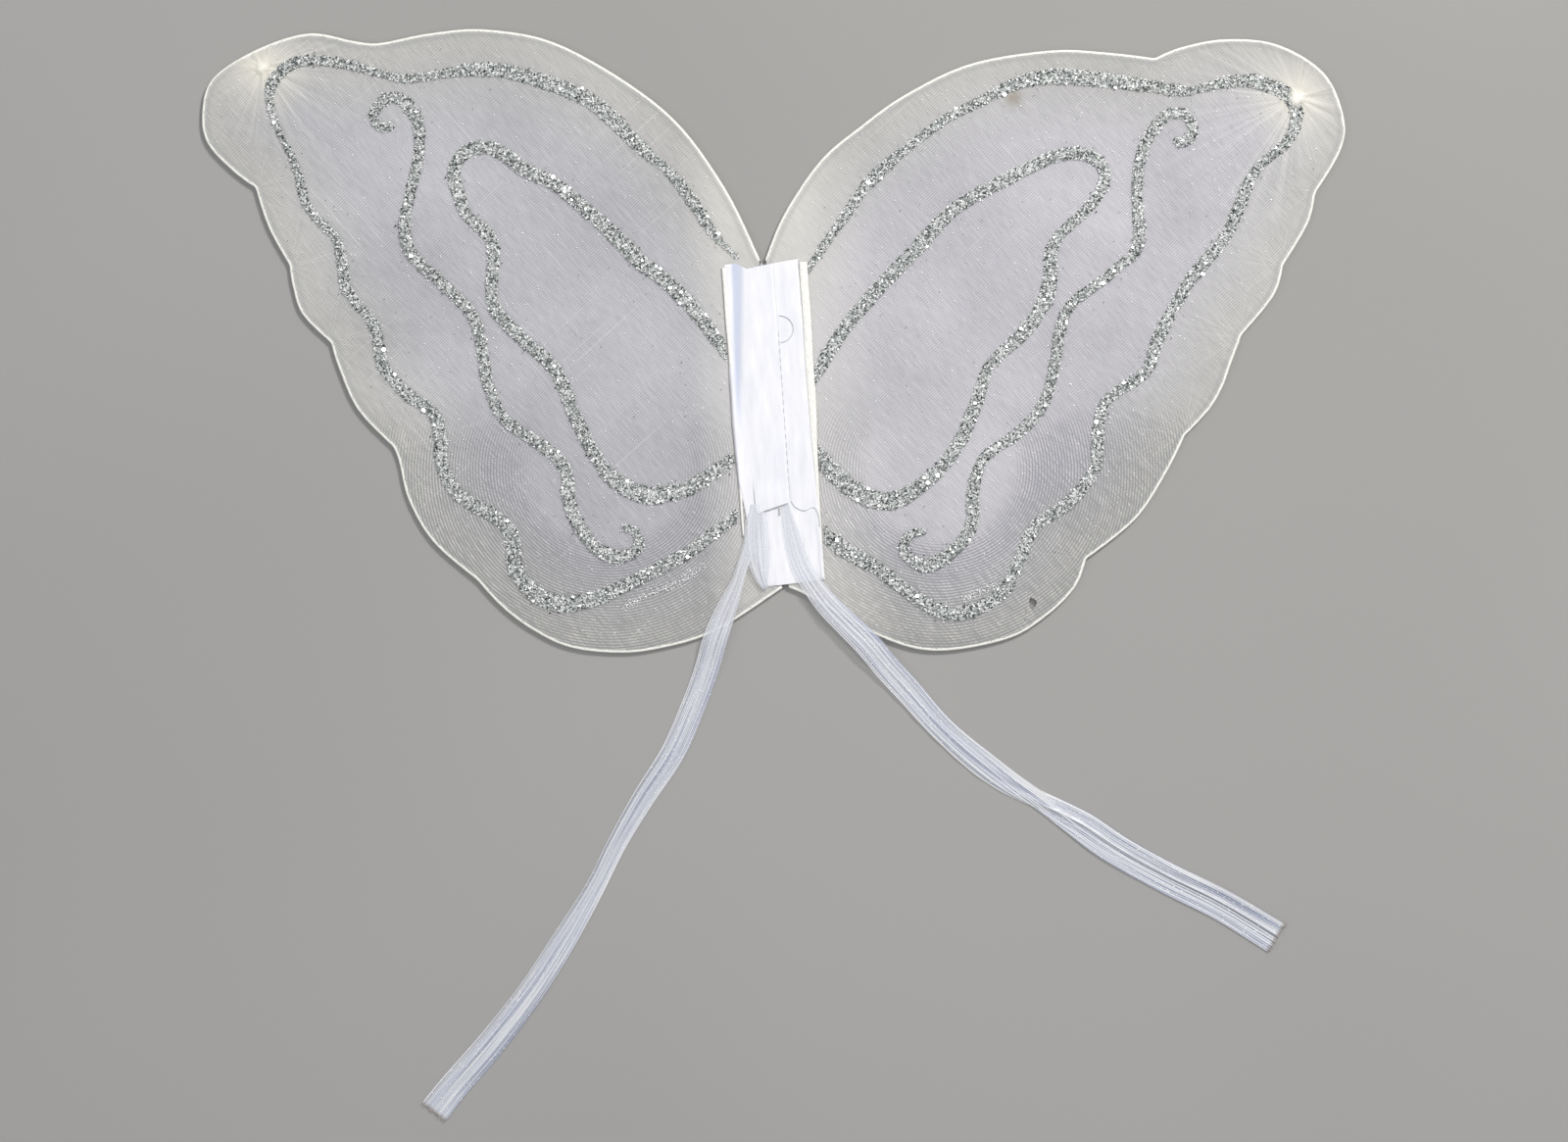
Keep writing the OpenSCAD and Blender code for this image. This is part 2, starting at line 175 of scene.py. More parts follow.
def fill(loop, inner, holes=()):
    """Triangles that fill a loop through the inner points, with holes left open."""
    rings = [loop, *holes]
    edges, first = [], 0
    for ring in rings:
        count = len(ring)
        edges += [(first + i, first + (i + 1) % count) for i in range(count)]
        first += count
    flat = [Vector(p) for p in np.concatenate([*rings, inner])]
    made = geometry.delaunay_2d_cdt(flat, edges, [], 1, SAME_POINT)
    points, faces = np.array([p[:] for p in made[0]]), np.array(made[2])
    for hole in holes:
        faces = faces[~inside(points[faces].mean(1), hole)]
    used = np.unique(faces)
    place = np.zeros(len(points), int)
    place[used] = np.arange(len(used))
    return points[used], place[faces]


def patch(loop, step, clear, jitter=0.25):
    """A fine mesh inside a loop: its points, its faces and how deep each point lies."""
    inner = lattice(loop, step, jitter)
    inner = inner[distance(inner, closed(loop)) > clear]
    points, faces = fill(loop, inner)
    return points, faces, distance(points, closed(loop))


def top_face(node):
    """The corners and triangles of a flat CAD node's top, in plan."""
    mesh = frame["nodes"][node].data
    mesh.calc_loop_triangles()
    corners = np.array([v.co[:] for v in mesh.vertices])
    triangles = np.array([t.vertices[:] for t in mesh.loop_triangles])
    level = corners[:, 2] > corners[:, 2].max() - 0.02 * MM
    triangles = triangles[level[triangles].all(1)]
    grid, index = np.unique(np.round(corners[:, :2] / GRID), axis=0, return_inverse=True)
    triangles = index.ravel()[triangles]
    flat = (triangles[:, 0] == triangles[:, 1]) | (triangles[:, 1] == triangles[:, 2])
    return grid * GRID, triangles[~flat]


def edge_loops(node):
    """The closed edges of a flat CAD node's top, longest first."""
    points, triangles = top_face(node)
    ways = {(t[i], t[(i + 1) % 3]) for t in triangles.tolist() for i in range(3)}
    follow = {a: b for a, b in ways if (b, a) not in ways}
    loops = []
    while follow:
        first, at = follow.popitem()
        loop = [first]
        while at != first and at in follow:
            loop.append(at)
            at = follow.pop(at)
        loops.append(points[loop])
    return sorted(loops, key=len, reverse=True)


def ripple(points, scale, seed=0.0):
    """Smooth noise from -1 to 1 at each point; scale may differ by axis."""
    scaled = np.asarray(points) * scale
    return np.array([noise.noise(Vector((*p[:2], seed + (p[2] if len(p) > 2 else 0))))
                     for p in scaled])


def ease(value, low, high):
    """0 below low and 1 above high, with a smooth change between them."""
    t = np.clip((np.asarray(value) - low) / (high - low), 0, 1)
    return t * t * (3 - 2 * t)


# -------- meshes and paint

def add_object(name, data):
    made = bpy.data.objects.new(name, data)
    bpy.context.collection.objects.link(made)
    return made


def piece(name, points, faces, paint, slot, body=None, replaces=(), flat=False, **values):
    """A mesh object that rides on a body, with named values at its points."""
    mesh = bpy.data.meshes.new(name)
    points = np.asarray(points, float)
    if isinstance(faces, np.ndarray):
        count, corners = faces.shape
        mesh.vertices.add(len(points))
        mesh.vertices.foreach_set("co", points.astype(np.float32).ravel())
        mesh.loops.add(count * corners)
        mesh.loops.foreach_set("vertex_index", faces.astype(np.int32).ravel())
        mesh.polygons.add(count)
        mesh.polygons.foreach_set("loop_start", np.arange(count, dtype=np.int32) * corners)
        mesh.update(calc_edges=True)
    else:
        mesh.from_pydata(points.tolist(), [], faces)
    mesh.polygons.foreach_set("use_smooth", [not flat] * len(mesh.polygons))
    for key, value in values.items():
        value = np.asarray(value, np.float32)
        kind, field = ("FLOAT", "value") if value.ndim == 1 else ("FLOAT_VECTOR", "vector")
        mesh.attributes.new(key, kind, "POINT").data.foreach_set(field, value.ravel())
    mesh.materials.append(paint.material)
    made = add_object(name, mesh)
    if body:
        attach(made, body)
    if replaces:
        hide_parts(*replaces)
    return made


def quads(rows, columns):
    """The faces of a grid of points."""
    first = (np.arange(rows - 1)[:, None] * columns + np.arange(columns - 1)).ravel()
    return np.stack([first, first + 1, first + columns + 1, first + columns], -1)


def ring_faces(rings, sides, first=0):
    """The faces between rings of points, each ring closed on itself."""
    faces = []
    for ring in range(rings - 1):
        for s in range(sides):
            a, b = first + ring * sides + s, first + ring * sides + (s + 1) % sides
            faces.append((a, a + sides, b + sides, b))
    return faces


def across(line):
    """The level direction to the left of a line at each point."""
    ahead = unit(np.gradient(line[:, :2], axis=0))
    return np.stack([-ahead[:, 1], ahead[:, 0], np.zeros(len(line))], -1)


def tube(line, radius, sides, flatten=1.0):
    """A closed skin round a line; radius is one number, or one for each ring and side."""
    turn = np.arange(sides) * 2 * math.pi / sides
    radius = np.broadcast_to(radius, (len(line), sides))[..., None]
    side = across(line)[:, None]
    up = np.array([0, 0, flatten])
    rings = line[:, None] + radius * (np.cos(turn)[:, None] * side + np.sin(turn)[:, None] * up)
    last = (len(line) - 1) * sides
    ends = [tuple(range(sides)), tuple(last + s for s in reversed(range(sides)))]
    return rings.reshape(-1, 3), ring_faces(len(line), sides) + ends


def tint(code):
    """The linear colour of a screen colour such as "C0C0C8"."""
    parts = [int(code[i:i + 2], 16) / 255 for i in (0, 2, 4)]
    return [c / 12.92 if c <= 0.04045 else ((c + 0.055) / 1.055) ** 2.4 for c in parts] + [1]


class Paint:
    """A short way to write a node material."""

    def __init__(self, name, colour, roughness, metallic=0.0):
        self.material = bpy.data.materials.new(name)
        self.material.use_nodes = True
        self.tree = self.material.node_tree
        self.shader = self.tree.nodes["Principled BSDF"]
        self.put("Base Color", tint(colour))
        self.put("Roughness", roughness)
        self.put("Metallic", metallic)

    def feed(self, socket, value):
        if isinstance(value, bpy.types.NodeSocket):
            self.tree.links.new(value, socket)
        else:
            socket.default_value = value

    def put(self, socket, value):
        self.feed(self.shader.inputs[socket], value)

    def node(self, kind, inputs=(), **settings):
        made = self.tree.nodes.new("ShaderNode" + kind)
        for key, value in settings.items():
            setattr(made, key, value)
        for key, value in dict(inputs).items():
            self.feed(made.inputs[key], value)
        return made

    def value(self, name):
        return self.node("Attribute", attribute_name=name).outputs["Fac"]

    def vector(self, name, scale=(1, 1, 1)):
        place = self.node("Attribute", attribute_name=name).outputs["Vector"]
        return self.node("Mapping", {"Vector": place, "Scale": scale}).outputs[0]

    def place(self, scale=(1, 1, 1)):
        place = self.node("TexCoord").outputs["Object"]
        return self.node("Mapping", {"Vector": place, "Scale": scale}).outputs[0]

    def maths(self, operation, *values):
        made = self.node("Math", operation=operation)
        for socket, value in zip(made.inputs, values):
            self.feed(socket, value)
        return made.outputs[0]

    def times(self, *values):
        return self.maths("MULTIPLY", *values)

    def plus(self, *values):
        return self.maths("ADD", *values)

    def noise(self, place, scale, detail=2.0, roughness=0.5):
        made = self.node("TexNoise", {"Vector": place, "Scale": scale, "Detail": detail,
                                      "Roughness": roughness})
        return made.outputs["Fac"]

    def cells(self, place, scale, output="Distance"):
        return self.node("TexVoronoi", {"Vector": place, "Scale": scale}).outputs[output]

    def bands(self, place, scale, distortion=0.0, direction="X"):
        made = self.node("TexWave", {"Vector": place, "Scale": scale, "Distortion": distortion,
                                     "Detail": 1.0, "Detail Scale": 1.0},
                         bands_direction=direction)
        return made.outputs["Fac"]

    def scaled(self, value, low, high, to_low=0.0, to_high=1.0):
        made = self.node("MapRange", {"Value": value, "From Min": low, "From Max": high,
                                      "To Min": to_low, "To Max": to_high})
        return made.outputs["Result"]

    def ramp(self, value, *stops):
        made = self.node("ValToRGB", {"Fac": value})
        band = made.color_ramp.elements
        while len(band) < len(stops):
            band.new(0.5)
        for element, (at, colour) in zip(band, stops):
            element.position = at
            element.color = tint(colour)
        return made.outputs["Color"]

    def mix(self, share, a, b, blend="MIX"):
        made = self.node("Mix", data_type="RGBA", blend_type=blend)
        for socket, value in zip((0, 6, 7), (share, a, b)):
            self.feed(made.inputs[socket], tint(value) if isinstance(value, str) else value)
        return made.outputs[2]

    def over(self, colour, layer, value, most):
        """The colour with a layer over it; most is the layer's share where value is 1."""
        return self.mix(self.times(value, most), colour, layer)

    def bump(self, height, distance, strength):
        made = self.node("Bump", {"Height": height, "Distance": distance, "Strength": strength})
        self.put("Normal", made.outputs[0])


# -------- camera, floor and light

LENS = 90
SENSOR_WIDTH = 36
# The camera looks straight down from above the middle of the part's box, a little to one side
VIEW_SHIFT = (5.5 * MM, 2.6 * MM)
VIEW_HEIGHT = 2.072
FLOOR_SPAN = 12.0
# Each light's place, size, power and colour
LIGHTS = {
    "key": ((1.1, 1.5, 1.9), 0.45, 48, (1.0, 0.985, 0.955)),
    "fill": ((-1.7, -0.9, 1.6), 1.6, 9, (0.95, 0.97, 1.0)),
    "overhead": ((0.2, 0.0, 2.6), 1.8, 13, (1.0, 1.0, 1.0))}
AIR_COLOUR = (0.84, 0.85, 0.88, 1)
AIR_STRENGTH = 0.38


def camera():
    low, high = CAD_BOX
    data = bpy.data.cameras.new("camera")
    data.lens = LENS
    data.sensor_width = SENSOR_WIDTH
    made = add_object("camera", data)
    middle = [(low[i] + high[i]) / 2 + VIEW_SHIFT[i] for i in (0, 1)]
    made.location = (*middle, VIEW_HEIGHT)
    bpy.context.scene.camera = made


def studio():
    for name, (place, size, power, colour) in LIGHTS.items():
        data = bpy.data.lights.new(name, "AREA")
        data.size = size
        data.energy = power
        data.color = colour
        made = add_object(name, data)
        made.location = place
        made.rotation_euler = (-Vector(place)).to_track_quat("-Z", "Y").to_euler()
    world = bpy.data.worlds.new("studio")
    world.use_nodes = True
    air = world.node_tree.nodes["Background"].inputs
    air["Color"].default_value = AIR_COLOUR
    air["Strength"].default_value = AIR_STRENGTH
    bpy.context.scene.world = world
    bpy.context.scene.view_settings.view_transform = "Standard"


def floor():
    paint = Paint("floor", "A6A5A3", 0.9)
    grain = paint.noise(paint.place(), 900, 3)
    cloud = paint.noise(paint.place(), 1.5, 2)
    tone = paint.plus(paint.scaled(grain, 0.3, 0.7, -0.02, 0.02), cloud)
    paint.put("Base Color", paint.ramp(tone, (0.35, "A09F9D"), (0.65, "A6A5A3")))
    paint.bump(grain, 0.05 * MM, 0.4)
    half = FLOOR_SPAN / 2
    corners = [(-half, -half, 0), (half, -half, 0), (half, half, 0), (-half, half, 0)]
    mesh = bpy.data.meshes.new("floor")
    mesh.from_pydata(corners, [], [(0, 1, 2, 3)])
    mesh.materials.append(paint.material)
    add_object("floor", mesh)


# -------- ribbons

# x, y, z and width in mm along each ribbon, on the same route as the CAD's
LEFT_ROUTE = [
    [-9.0, -45, 4.0, 7], [-10.5, -55, 4.2, 8], [-13, -65, 4.8, 7], [-16.5, -75, 5.5, 6],
    [-19.3, -84, 5.6, 7], [-22.5, -92, 5.3, 9.5], [-27, -103, 4.4, 12], [-31, -114, 4.3, 13],
    [-35, -128, 1.8, 13], [-41, -145, 0.4, 13], [-53, -173, 0.3, 13], [-69, -198, 0.3, 12],
    [-83, -222, 0.3, 10.5], [-95, -246, 0.3, 10.5], [-111, -273, 0.3, 13], [-129, -301, 0.3, 14],
    [-149, -327, 0.3, 15], [-169, -350, 0.3, 15.5], [-180, -364, 0.3, 16]]
RIGHT_ROUTE = [
    [6.4, -45.5, 4.0, 4.5], [8, -54, 4.0, 7.5], [10.3, -63, 4.1, 9.5], [13, -72, 4.3, 10.5],
    [18.5, -82.5, 4.7, 11], [28, -95, 4.6, 12.5], [39, -106, 4.3, 13.5], [50, -117, 4.2, 14],
    [60, -129, 1.8, 14], [71, -141, 0.5, 14], [88, -160, 0.3, 13], [106, -176, 0.3, 14],
    [125, -190, 0.3, 15], [144, -201, 0.3, 16], [162, -212, 0.3, 17], [181, -225, 0.3, 17],
    [208, -240, 0.3, 17], [236, -254, 0.3, 17], [266, -272, 0.3, 18]]
# The part of the left ribbon that doubles back on the cover, in the same way
LEFT_TURN = [
    [-8.6, -45, 4.6, 7], [-9.3, -53, 4.9, 11.5], [-8.7, -63, 5.0, 12.5], [-7.9, -73, 5.0, 11],
    [-6.4, -81, 4.9, 7.5], [-4.6, -87, 4.6, 2.5]]
# Each ribbon's route and length, the places between which it passes from the spine to its
# wing, and the run over which its fold opens into two folded-in edges
RIBBONS = {
    "left": (LEFT_ROUTE, 0.366, (-0.069, -0.198, 0), (-0.028, -0.105, 0), None),
    "right": (RIGHT_ROUTE, 0.355, (0.070, -0.141, 0), (0.016, -0.082, 0), (0.17, 0.25))}
RIBBON_WIDTH = 16 * MM
RIBBON_LANES = 49
WEAVE_WIDTH = 30
# How far from the end, in mm, the ribbon starts to be painted paler: partly bunched cloth, partly
# painted light
BUNCHED_AND_LIT_FROM = 300
TUCK = 2.5 * MM
THREAD_HALF = 0.06 * MM


def organza():
    """Sheer ribbon: fine lengthwise threads, bright selvages, tiny painted glints and a paler run
    near the tack that is partly painted light.
    """
    paint = Paint("organza", "D3DBEE", 0.34)
    threads = paint.bands(paint.vector("weave", (1, 0.02, 1)), 0.27, 1.4)
    uneven = paint.noise(paint.vector("weave", (0.6, 0.008, 1)), 1.0, 3, 0.6)
    cloud = paint.noise(paint.vector("weave", (0.08, 0.03, 1)), 1.0, 2)
    from_middle = paint.maths("ABSOLUTE", paint.maths("SUBTRACT", paint.value("lane"), 0.5))
    selvage = paint.scaled(from_middle, 0.462, 0.485)
    lines = paint.plus(paint.times(threads, 0.35), paint.scaled(uneven, 0.34, 0.66, 0, 0.65))
    colour = paint.ramp(lines, (0.22, "AFBDE0"), (0.46, "DCE3F5"), (0.68, "FFFFFF"))
    colour = paint.mix(paint.scaled(cloud, 0.4, 0.7, 0, 0.4), colour, "D6D8EA")
    colour = paint.over(colour, "FAFBFF", selvage, 0.6)
    # Painted glints: tiny white specks in the base colour, which are also made more opaque.
    spark = paint.scaled(paint.cells(paint.vector("weave", (1, 0.8, 1)), 0.6), 0.22, 0.13)
    colour = paint.mix(spark, colour, "FFFFFF")
    # Paler near the tack: partly denser bunched cloth, partly painted light that offsets the shade
    # the ribbon's layers cast on each other.
    bunched_and_painted_light = paint.scaled(paint.value("to_end"), BUNCHED_AND_LIT_FROM - 30, BUNCHED_AND_LIT_FROM + 10, 0, 0.65)
    colour = paint.mix(bunched_and_painted_light, colour, "F6F7FC")
    cut = paint.scaled(paint.value("to_end"), 2.6, 0.3)
    colour = paint.over(colour, "83705E", cut, 0.8)
    paint.put("Base Color", colour)
    clear = paint.scaled(lines, 0.25, 0.66, 0.2, 0.7)
    clear = paint.maths("MAXIMUM", clear, paint.times(selvage, 0.62))
    paint.put("Alpha", paint.maths("MAXIMUM", clear, paint.times(spark, 0.9)))
    paint.put("Sheen Weight", 0.3)
    paint.bump(threads, 0.06 * MM, 0.4)
    return paint


def folded(lanes):
    """Across a ribbon folded once: its place from -0.5 to 0.5, and 1 on top or -1 below."""
    share = 0.56
    on_top = np.where(lanes < share, lanes / share, 1 - 0.82 * (lanes - share) / (1 - share))
    level = np.clip((share - lanes) / 0.02, -1, 1)
    return on_top - 0.5, level


def lapped(lanes):
    """Across a ribbon with both edges folded in, which almost meet."""
    gap, lap = 0.07, 0.24
    left = -gap - (0.5 - gap) * lanes / lap
    right = 0.5 - (0.5 - gap) * (lanes - 1 + lap) / lap
    base = -0.5 + (lanes - lap) / (1 - 2 * lap)
    place = np.where(lanes < lap, left, np.where(lanes > 1 - lap, right, base))
    level = np.clip((np.abs(lanes - 0.5) - 0.5 + lap) / 0.02, -1, 1)
    return place, level


def strand(side, route, opens=None):
    """A folded ribbon's middle line, its grid of points, their weave and how far the end is."""
    line = smooth(np.array(route) * MM, 12)
    ahead = line[0] - line[1]
    lead = line[0] + np.outer(np.linspace(1, 0.2, 4), ahead / np.linalg.norm(ahead[:2])) * TUCK
    lead[:, 2:] = line[0, 2:]
    full = np.concatenate([lead, line])
    run = lengths(full)
    lanes = np.linspace(0, 1, RIBBON_LANES)
    wander = 0.05 * ripple(at_height(run), 14, 3.0)[:, None]
    opened = (ease(run, *opens) if opens else 0 * run)[:, None]
    place, level = ((1 - opened) * fold + opened * lap
                    for fold, lap in zip(folded(lanes), lapped(lanes)))
    width = full[:, 3:4]
    place = place + wander * np.sin(math.pi * lanes) * level
    slack = np.clip(1 - width / RIBBON_WIDTH, 0, 1)
    along = np.repeat(run, RIBBON_LANES) / MM
    over = np.tile(lanes, len(full)) * WEAVE_WIDTH
    grid = np.stack([along, over], -1)
    soft = ripple(grid, (0.022, 0.16), 5.0 * SIGN[side]).reshape(-1, RIBBON_LANES)
    pleats = ripple(grid, (0.012, 0.55), 9.0 * SIGN[side]).reshape(-1, RIBBON_LANES)
    waves = MM * (0.55 * soft * ease(lanes * (1 - lanes), 0, 0.1) + (0.5 + 1.5 * slack) * pleats)
    edge = np.abs(lanes - 0.5) > 0.47
    waves = waves + np.where(edge, 0.15 * MM * np.sin(run[:, None] / (2.3 * MM)), 0)
    free = 0.3 + 0.7 * ease(run, 20 * MM, 60 * MM)[:, None]
    lift = free * (0.42 * MM * (level + 1) + waves)
    height = np.maximum(full[:, 2:3] + lift, 0.12 * MM)
    plan = full[:, None, :2] + across(full)[:, None, :2] * (place * width)[..., None]
    cloth = np.concatenate([plan, height[..., None]], -1)
    return line, cloth, np.stack([over, along, 0 * along], -1), along[-1] - along


def frayed_threads(ends, away):
    """Short loose threads past a cut end, each a strip of three pairs of points."""
    side = np.array([-away[1], away[0]])
    points = []
    for lane in range(1, RIBBON_LANES - 1, 3):
        reach = RANDOM.uniform(0.8, 3.2) * MM
        bend = RANDOM.uniform(-0.9, 0.9) * MM
        for t in (0, 0.5, 1):
            at = ends[lane, :2] + away * reach * (t - 0.1) + side * bend * t * t
            for half in (-THREAD_HALF, THREAD_HALF):
                points.append([*(at + side * half), ends[lane, 2] * (1 - 0.5 * t)])
    return np.array(points)


def ribbon(side, paint):
    """A folded ribbon with a frayed end."""
    route, length, start, end, opens = RIBBONS[side]
    line, cloth, weave, to_end = strand(side, route, opens)
    fray = RANDOM.uniform(-0.8, 0.5, RIBBON_LANES) * MM
    away = unit(line[-1, :2] - line[-3, :2])
    cloth[-1, :, :2] += fray[:, None] * away
    threads = frayed_threads(cloth[-1], away)
    first = len(weave) + np.arange(0, len(threads), 6)
    strips = first[:, None, None] + [[0, 1, 3, 2], [2, 3, 5, 4]]
    faces = np.concatenate([quads(len(cloth), RIBBON_LANES), strips.reshape(-1, 4)])
    points = np.concatenate([cloth.reshape(-1, 3), threads])
    made = piece(f"{side}_tie_ribbon", points, faces, paint, "organza",
                 replaces=[f"{side}_ribbon"], weave=np.concatenate([weave, 0 * threads]),
                 lane=np.append(weave[:, 0] / WEAVE_WIDTH, 0 * threads[:, 0] + 0.5),
                 to_end=np.append(to_end, 0 * threads[:, 0]))
    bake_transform(made)


def ribbon_turn(paint):
    """The part of the left ribbon that doubles back under its tack, all of it in the paler run
    that is partly bunched cloth and partly painted light.
    """
    _, cloth, weave, to_end = strand("left", LEFT_TURN)
    made = piece("left_ribbon_turn", cloth.reshape(-1, 3), quads(len(cloth), RIBBON_LANES),
                 paint, "organza", "left_wing", weave=weave, lane=weave[:, 0] / WEAVE_WIDTH,
                 to_end=to_end + BUNCHED_AND_LIT_FROM)


def ribbons():
    paint = organza()
    for side in RIBBONS:
        ribbon(side, paint)
    ribbon_turn(paint)


# -------- nylon and rim

# The root edge lies this near to the spine's line, and reaches this far along it
ROOT_REACH = 4.3 * MM
ROOT_HALF = 85.8 * MM
SHARP_TURN = 0.22
TUFT_AT = {side: np.array(sum(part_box(f"{side}_tip_tuft"), Vector())[:2]) / 2 for side in SIGN}


def wing_edges(side):
    """The rim line from the root's top to its bottom, and the whole outline with the root."""
    loop = edge_loops(f"{side}_front_nylon")[0]
    place = to_spine(loop)
    root = (np.abs(place[:, 0]) < ROOT_REACH) & (np.abs(place[:, 1]) < ROOT_HALF)
    first = [i for i in range(len(loop)) if root[i - 1] and not root[i]][0]
    loop, root = np.roll(loop, -first, 0), np.roll(root, -first)
    rim, back = loop[~root], loop[root]
    if rim[0] @ ALONG < rim[-1] @ ALONG:
        rim, back = rim[::-1], back[::-1]
    rim = even(smooth(rim, 5), 2.6 * MM)
    return rim, np.concatenate([rim, back])


RIM, OUTLINE = {}, {}
for name in SIGN:
    RIM[name], OUTLINE[name] = wing_edges(name)


def kinks(rim):
    """Where the wire kinks inwards between two scallops."""
    reach = 4
    before = rim[reach:-reach] - rim[:-2 * reach]
    after = rim[2 * reach:] - rim[reach:-reach]
    cross = before[:, 0] * after[:, 1] - before[:, 1] * after[:, 0]
    turn = np.arctan2(cross, (before * after).sum(1))
    turn = turn * -np.sign(turn.sum())
    peaks = [i for i in range(reach, len(turn) - reach)
             if turn[i] > SHARP_TURN and turn[i] == turn[i - reach:i + reach + 1].max()]
    return rim[[i + reach for i in peaks]]


# How the two wings' nylon differs: its tint, the right one lighter as painted light, how far from
# the spine its pale band and from the tip its pull lines reach in mm, and how strong its arcs are
MIDDLE_TINT_AND_LIGHT = {"left": "DBDADE", "right": "E3E1E6"}
PALE_REACH = {"left": 42, "right": 62}
PULL_REACH = {"left": 20, "right": 26}
ARC_SHARE = {"left": 0.6, "right": 1.0}
KNIT_SLANT = {"front": 52, "back": 44}


def sheer(side, layer):
    """Stretched knitted nylon: dotted knit, arcs by the lower rim, pull lines with painted light
    and shade, and a painted shade line inside the rim.
    """
    paint = Paint(f"{side}_{layer}_nylon", "C9C9D0", 0.5)
    lines = paint.bands(paint.vector("weave"), 0.31, 0.6)
    dots = paint.bands(paint.vector("weave"), 0.24, 0.8, "Y")
    arcs = paint.bands(paint.vector("arcs"), 0.20, 1.2)
    grain = paint.noise(paint.vector("weave", (0.9, 0.10, 1)), 1.0, 3, 0.65)
    cloud = paint.noise(paint.place(), 13, 3)
    curved = paint.value("curved")
    knit = paint.plus(paint.scaled(lines, 0, 1, -0.5, 0.5), paint.scaled(dots, 0, 1, -0.3, 0.3))
    rings = paint.plus(paint.scaled(arcs, 0.05, 0.55, -3.7, -0.1),
                       paint.scaled(grain, 0.35, 0.65, -0.6, 0.4))
    knit = paint.times(knit, paint.maths("SUBTRACT", 1.0, curved))
    knit = paint.plus(knit, paint.times(rings, curved))
    tone = paint.plus(paint.times(knit, 0.19), paint.scaled(grain, 0.3, 0.7, 0.44, 0.56))
    tone = paint.plus(tone, paint.scaled(cloud, 0.3, 0.7, -0.05, 0.05))
    edge = paint.value("edge")
    # The middle's tint differs by wing: the right wing's lighter tint is painted light.
    colour = paint.mix(paint.scaled(edge, 46, 4), MIDDLE_TINT_AND_LIGHT[side], "DDDCD7")
    shade = paint.ramp(tone, (0.30, "A8A9AD"), (0.5, "DCDCDE"), (0.66, "FFFFFF"))
    colour = paint.mix(0.75, colour, shade, "MULTIPLY")
    by_root = paint.scaled(paint.value("root"), PALE_REACH[side], 21)
    colour = paint.over(colour, "F6F4EE", by_root, 0.45)
    pulls = 0.0
    for slope in ((0.75, 0.011, 1), (0.010, 0.8, 1)):
        thread = paint.noise(paint.vector("weave", slope), 1.0, 1, 0.4)
        pulls = paint.maths("MAXIMUM", pulls, paint.scaled(thread, 0.70, 0.76))
    colour = paint.over(colour, "F4F3F0", pulls, 0.3)
    # Streaks along rays from the tip and the kinks: the pale ones are partly denser pulled nylon
    # and partly painted light on pleats, the dark ones are painted shade between the pleats.
    ray = paint.noise(paint.vector("ray", (15, 15, 0.0)), 1.0, 3, 0.65)
    near = paint.value("pull")
    glow = paint.times(paint.scaled(ray, 0.48, 0.70), near)
    colour = paint.over(colour, "F8F6EE", glow, 0.7)
    gloom = paint.times(paint.scaled(ray, 0.47, 0.34), near)
    colour = paint.over(colour, "9A9BA2", gloom, 0.35)
    # Painted shade: a dark line about 1 to 4 mm inside the rim, where the layers meet the wire.
    edge_band = paint.times(paint.scaled(edge, 4.0, 2.2), paint.scaled(edge, 1.0, 1.6))
    colour = paint.over(colour, "94979F", edge_band, 0.22)
    warm = paint.maths("POWER", paint.scaled(paint.value("tip"), 36, 1), 1.9)
    colour = paint.over(colour, "FBF7EA", warm, 0.9)
    stain = paint.times(paint.value("stain"), paint.scaled(cloud, 0.2, 0.5))
    colour = paint.over(colour, "8E8062", stain, 0.7)
    paint.put("Base Color", colour)
    solid = paint.scaled(tone, 0.36, 0.62, 0.72, 0.86)
    solid = paint.plus(solid, paint.times(glow, 0.2))
    solid = paint.maths("MAXIMUM", solid, paint.times(warm, 0.95))
    paint.put("Alpha", paint.maths("MINIMUM", solid, 1.0))
    paint.put("Sheen Weight", 0.25)
    paint.put("Specular IOR Level", 0.3)
    paint.bump(tone, 0.12 * MM, 0.3)
    return paint


ARCS_MIDDLE = np.array([88, -25]) * MM
STAIN_AT = np.array([126.5, 172]) * MM
STAIN_SIZE = 4 * MM
# The middle and the radii of the one small hole
HOLE = {"right": (np.array([136.5, -94.8]) * MM, np.array([2.0, 2.9]) * MM)}


def knit_places(side, layer, points):
    """Across and along the knit: slanting lines, and arcs round the lower lobe's middle."""
    spine = to_spine(points) / MM
    slant = math.radians(KNIT_SLANT[layer])
    u = spine @ [math.sin(slant), math.cos(slant)]
    v = spine @ [-math.cos(slant), math.sin(slant)]
    u = u + 1.6 * ripple(points, 9, 2.0 if layer == "front" else 6.0)
    away = (points - ARCS_MIDDLE * (SIGN[side], 1)) / MM
    radius = np.hypot(away[:, 0], away[:, 1] * 1.04)
    arcs = np.stack([radius + 2.5 * ripple(points, 12, 7.0), v, 0 * u], -1)
    curved = ARC_SHARE[side] * ease(radius, 34, 60) * ease(away[:, 1], 45, -20)
    return np.stack([u, v, 0 * u], -1), arcs, curved


# The nylon mesh's steps, each with its nearest and furthest distance from the tip
NYLON_STEPS = [(3.2 * MM, 55 * MM, 1.0), (1.7 * MM, 20 * MM, 55 * MM), (0.9 * MM, 0, 20 * MM)]


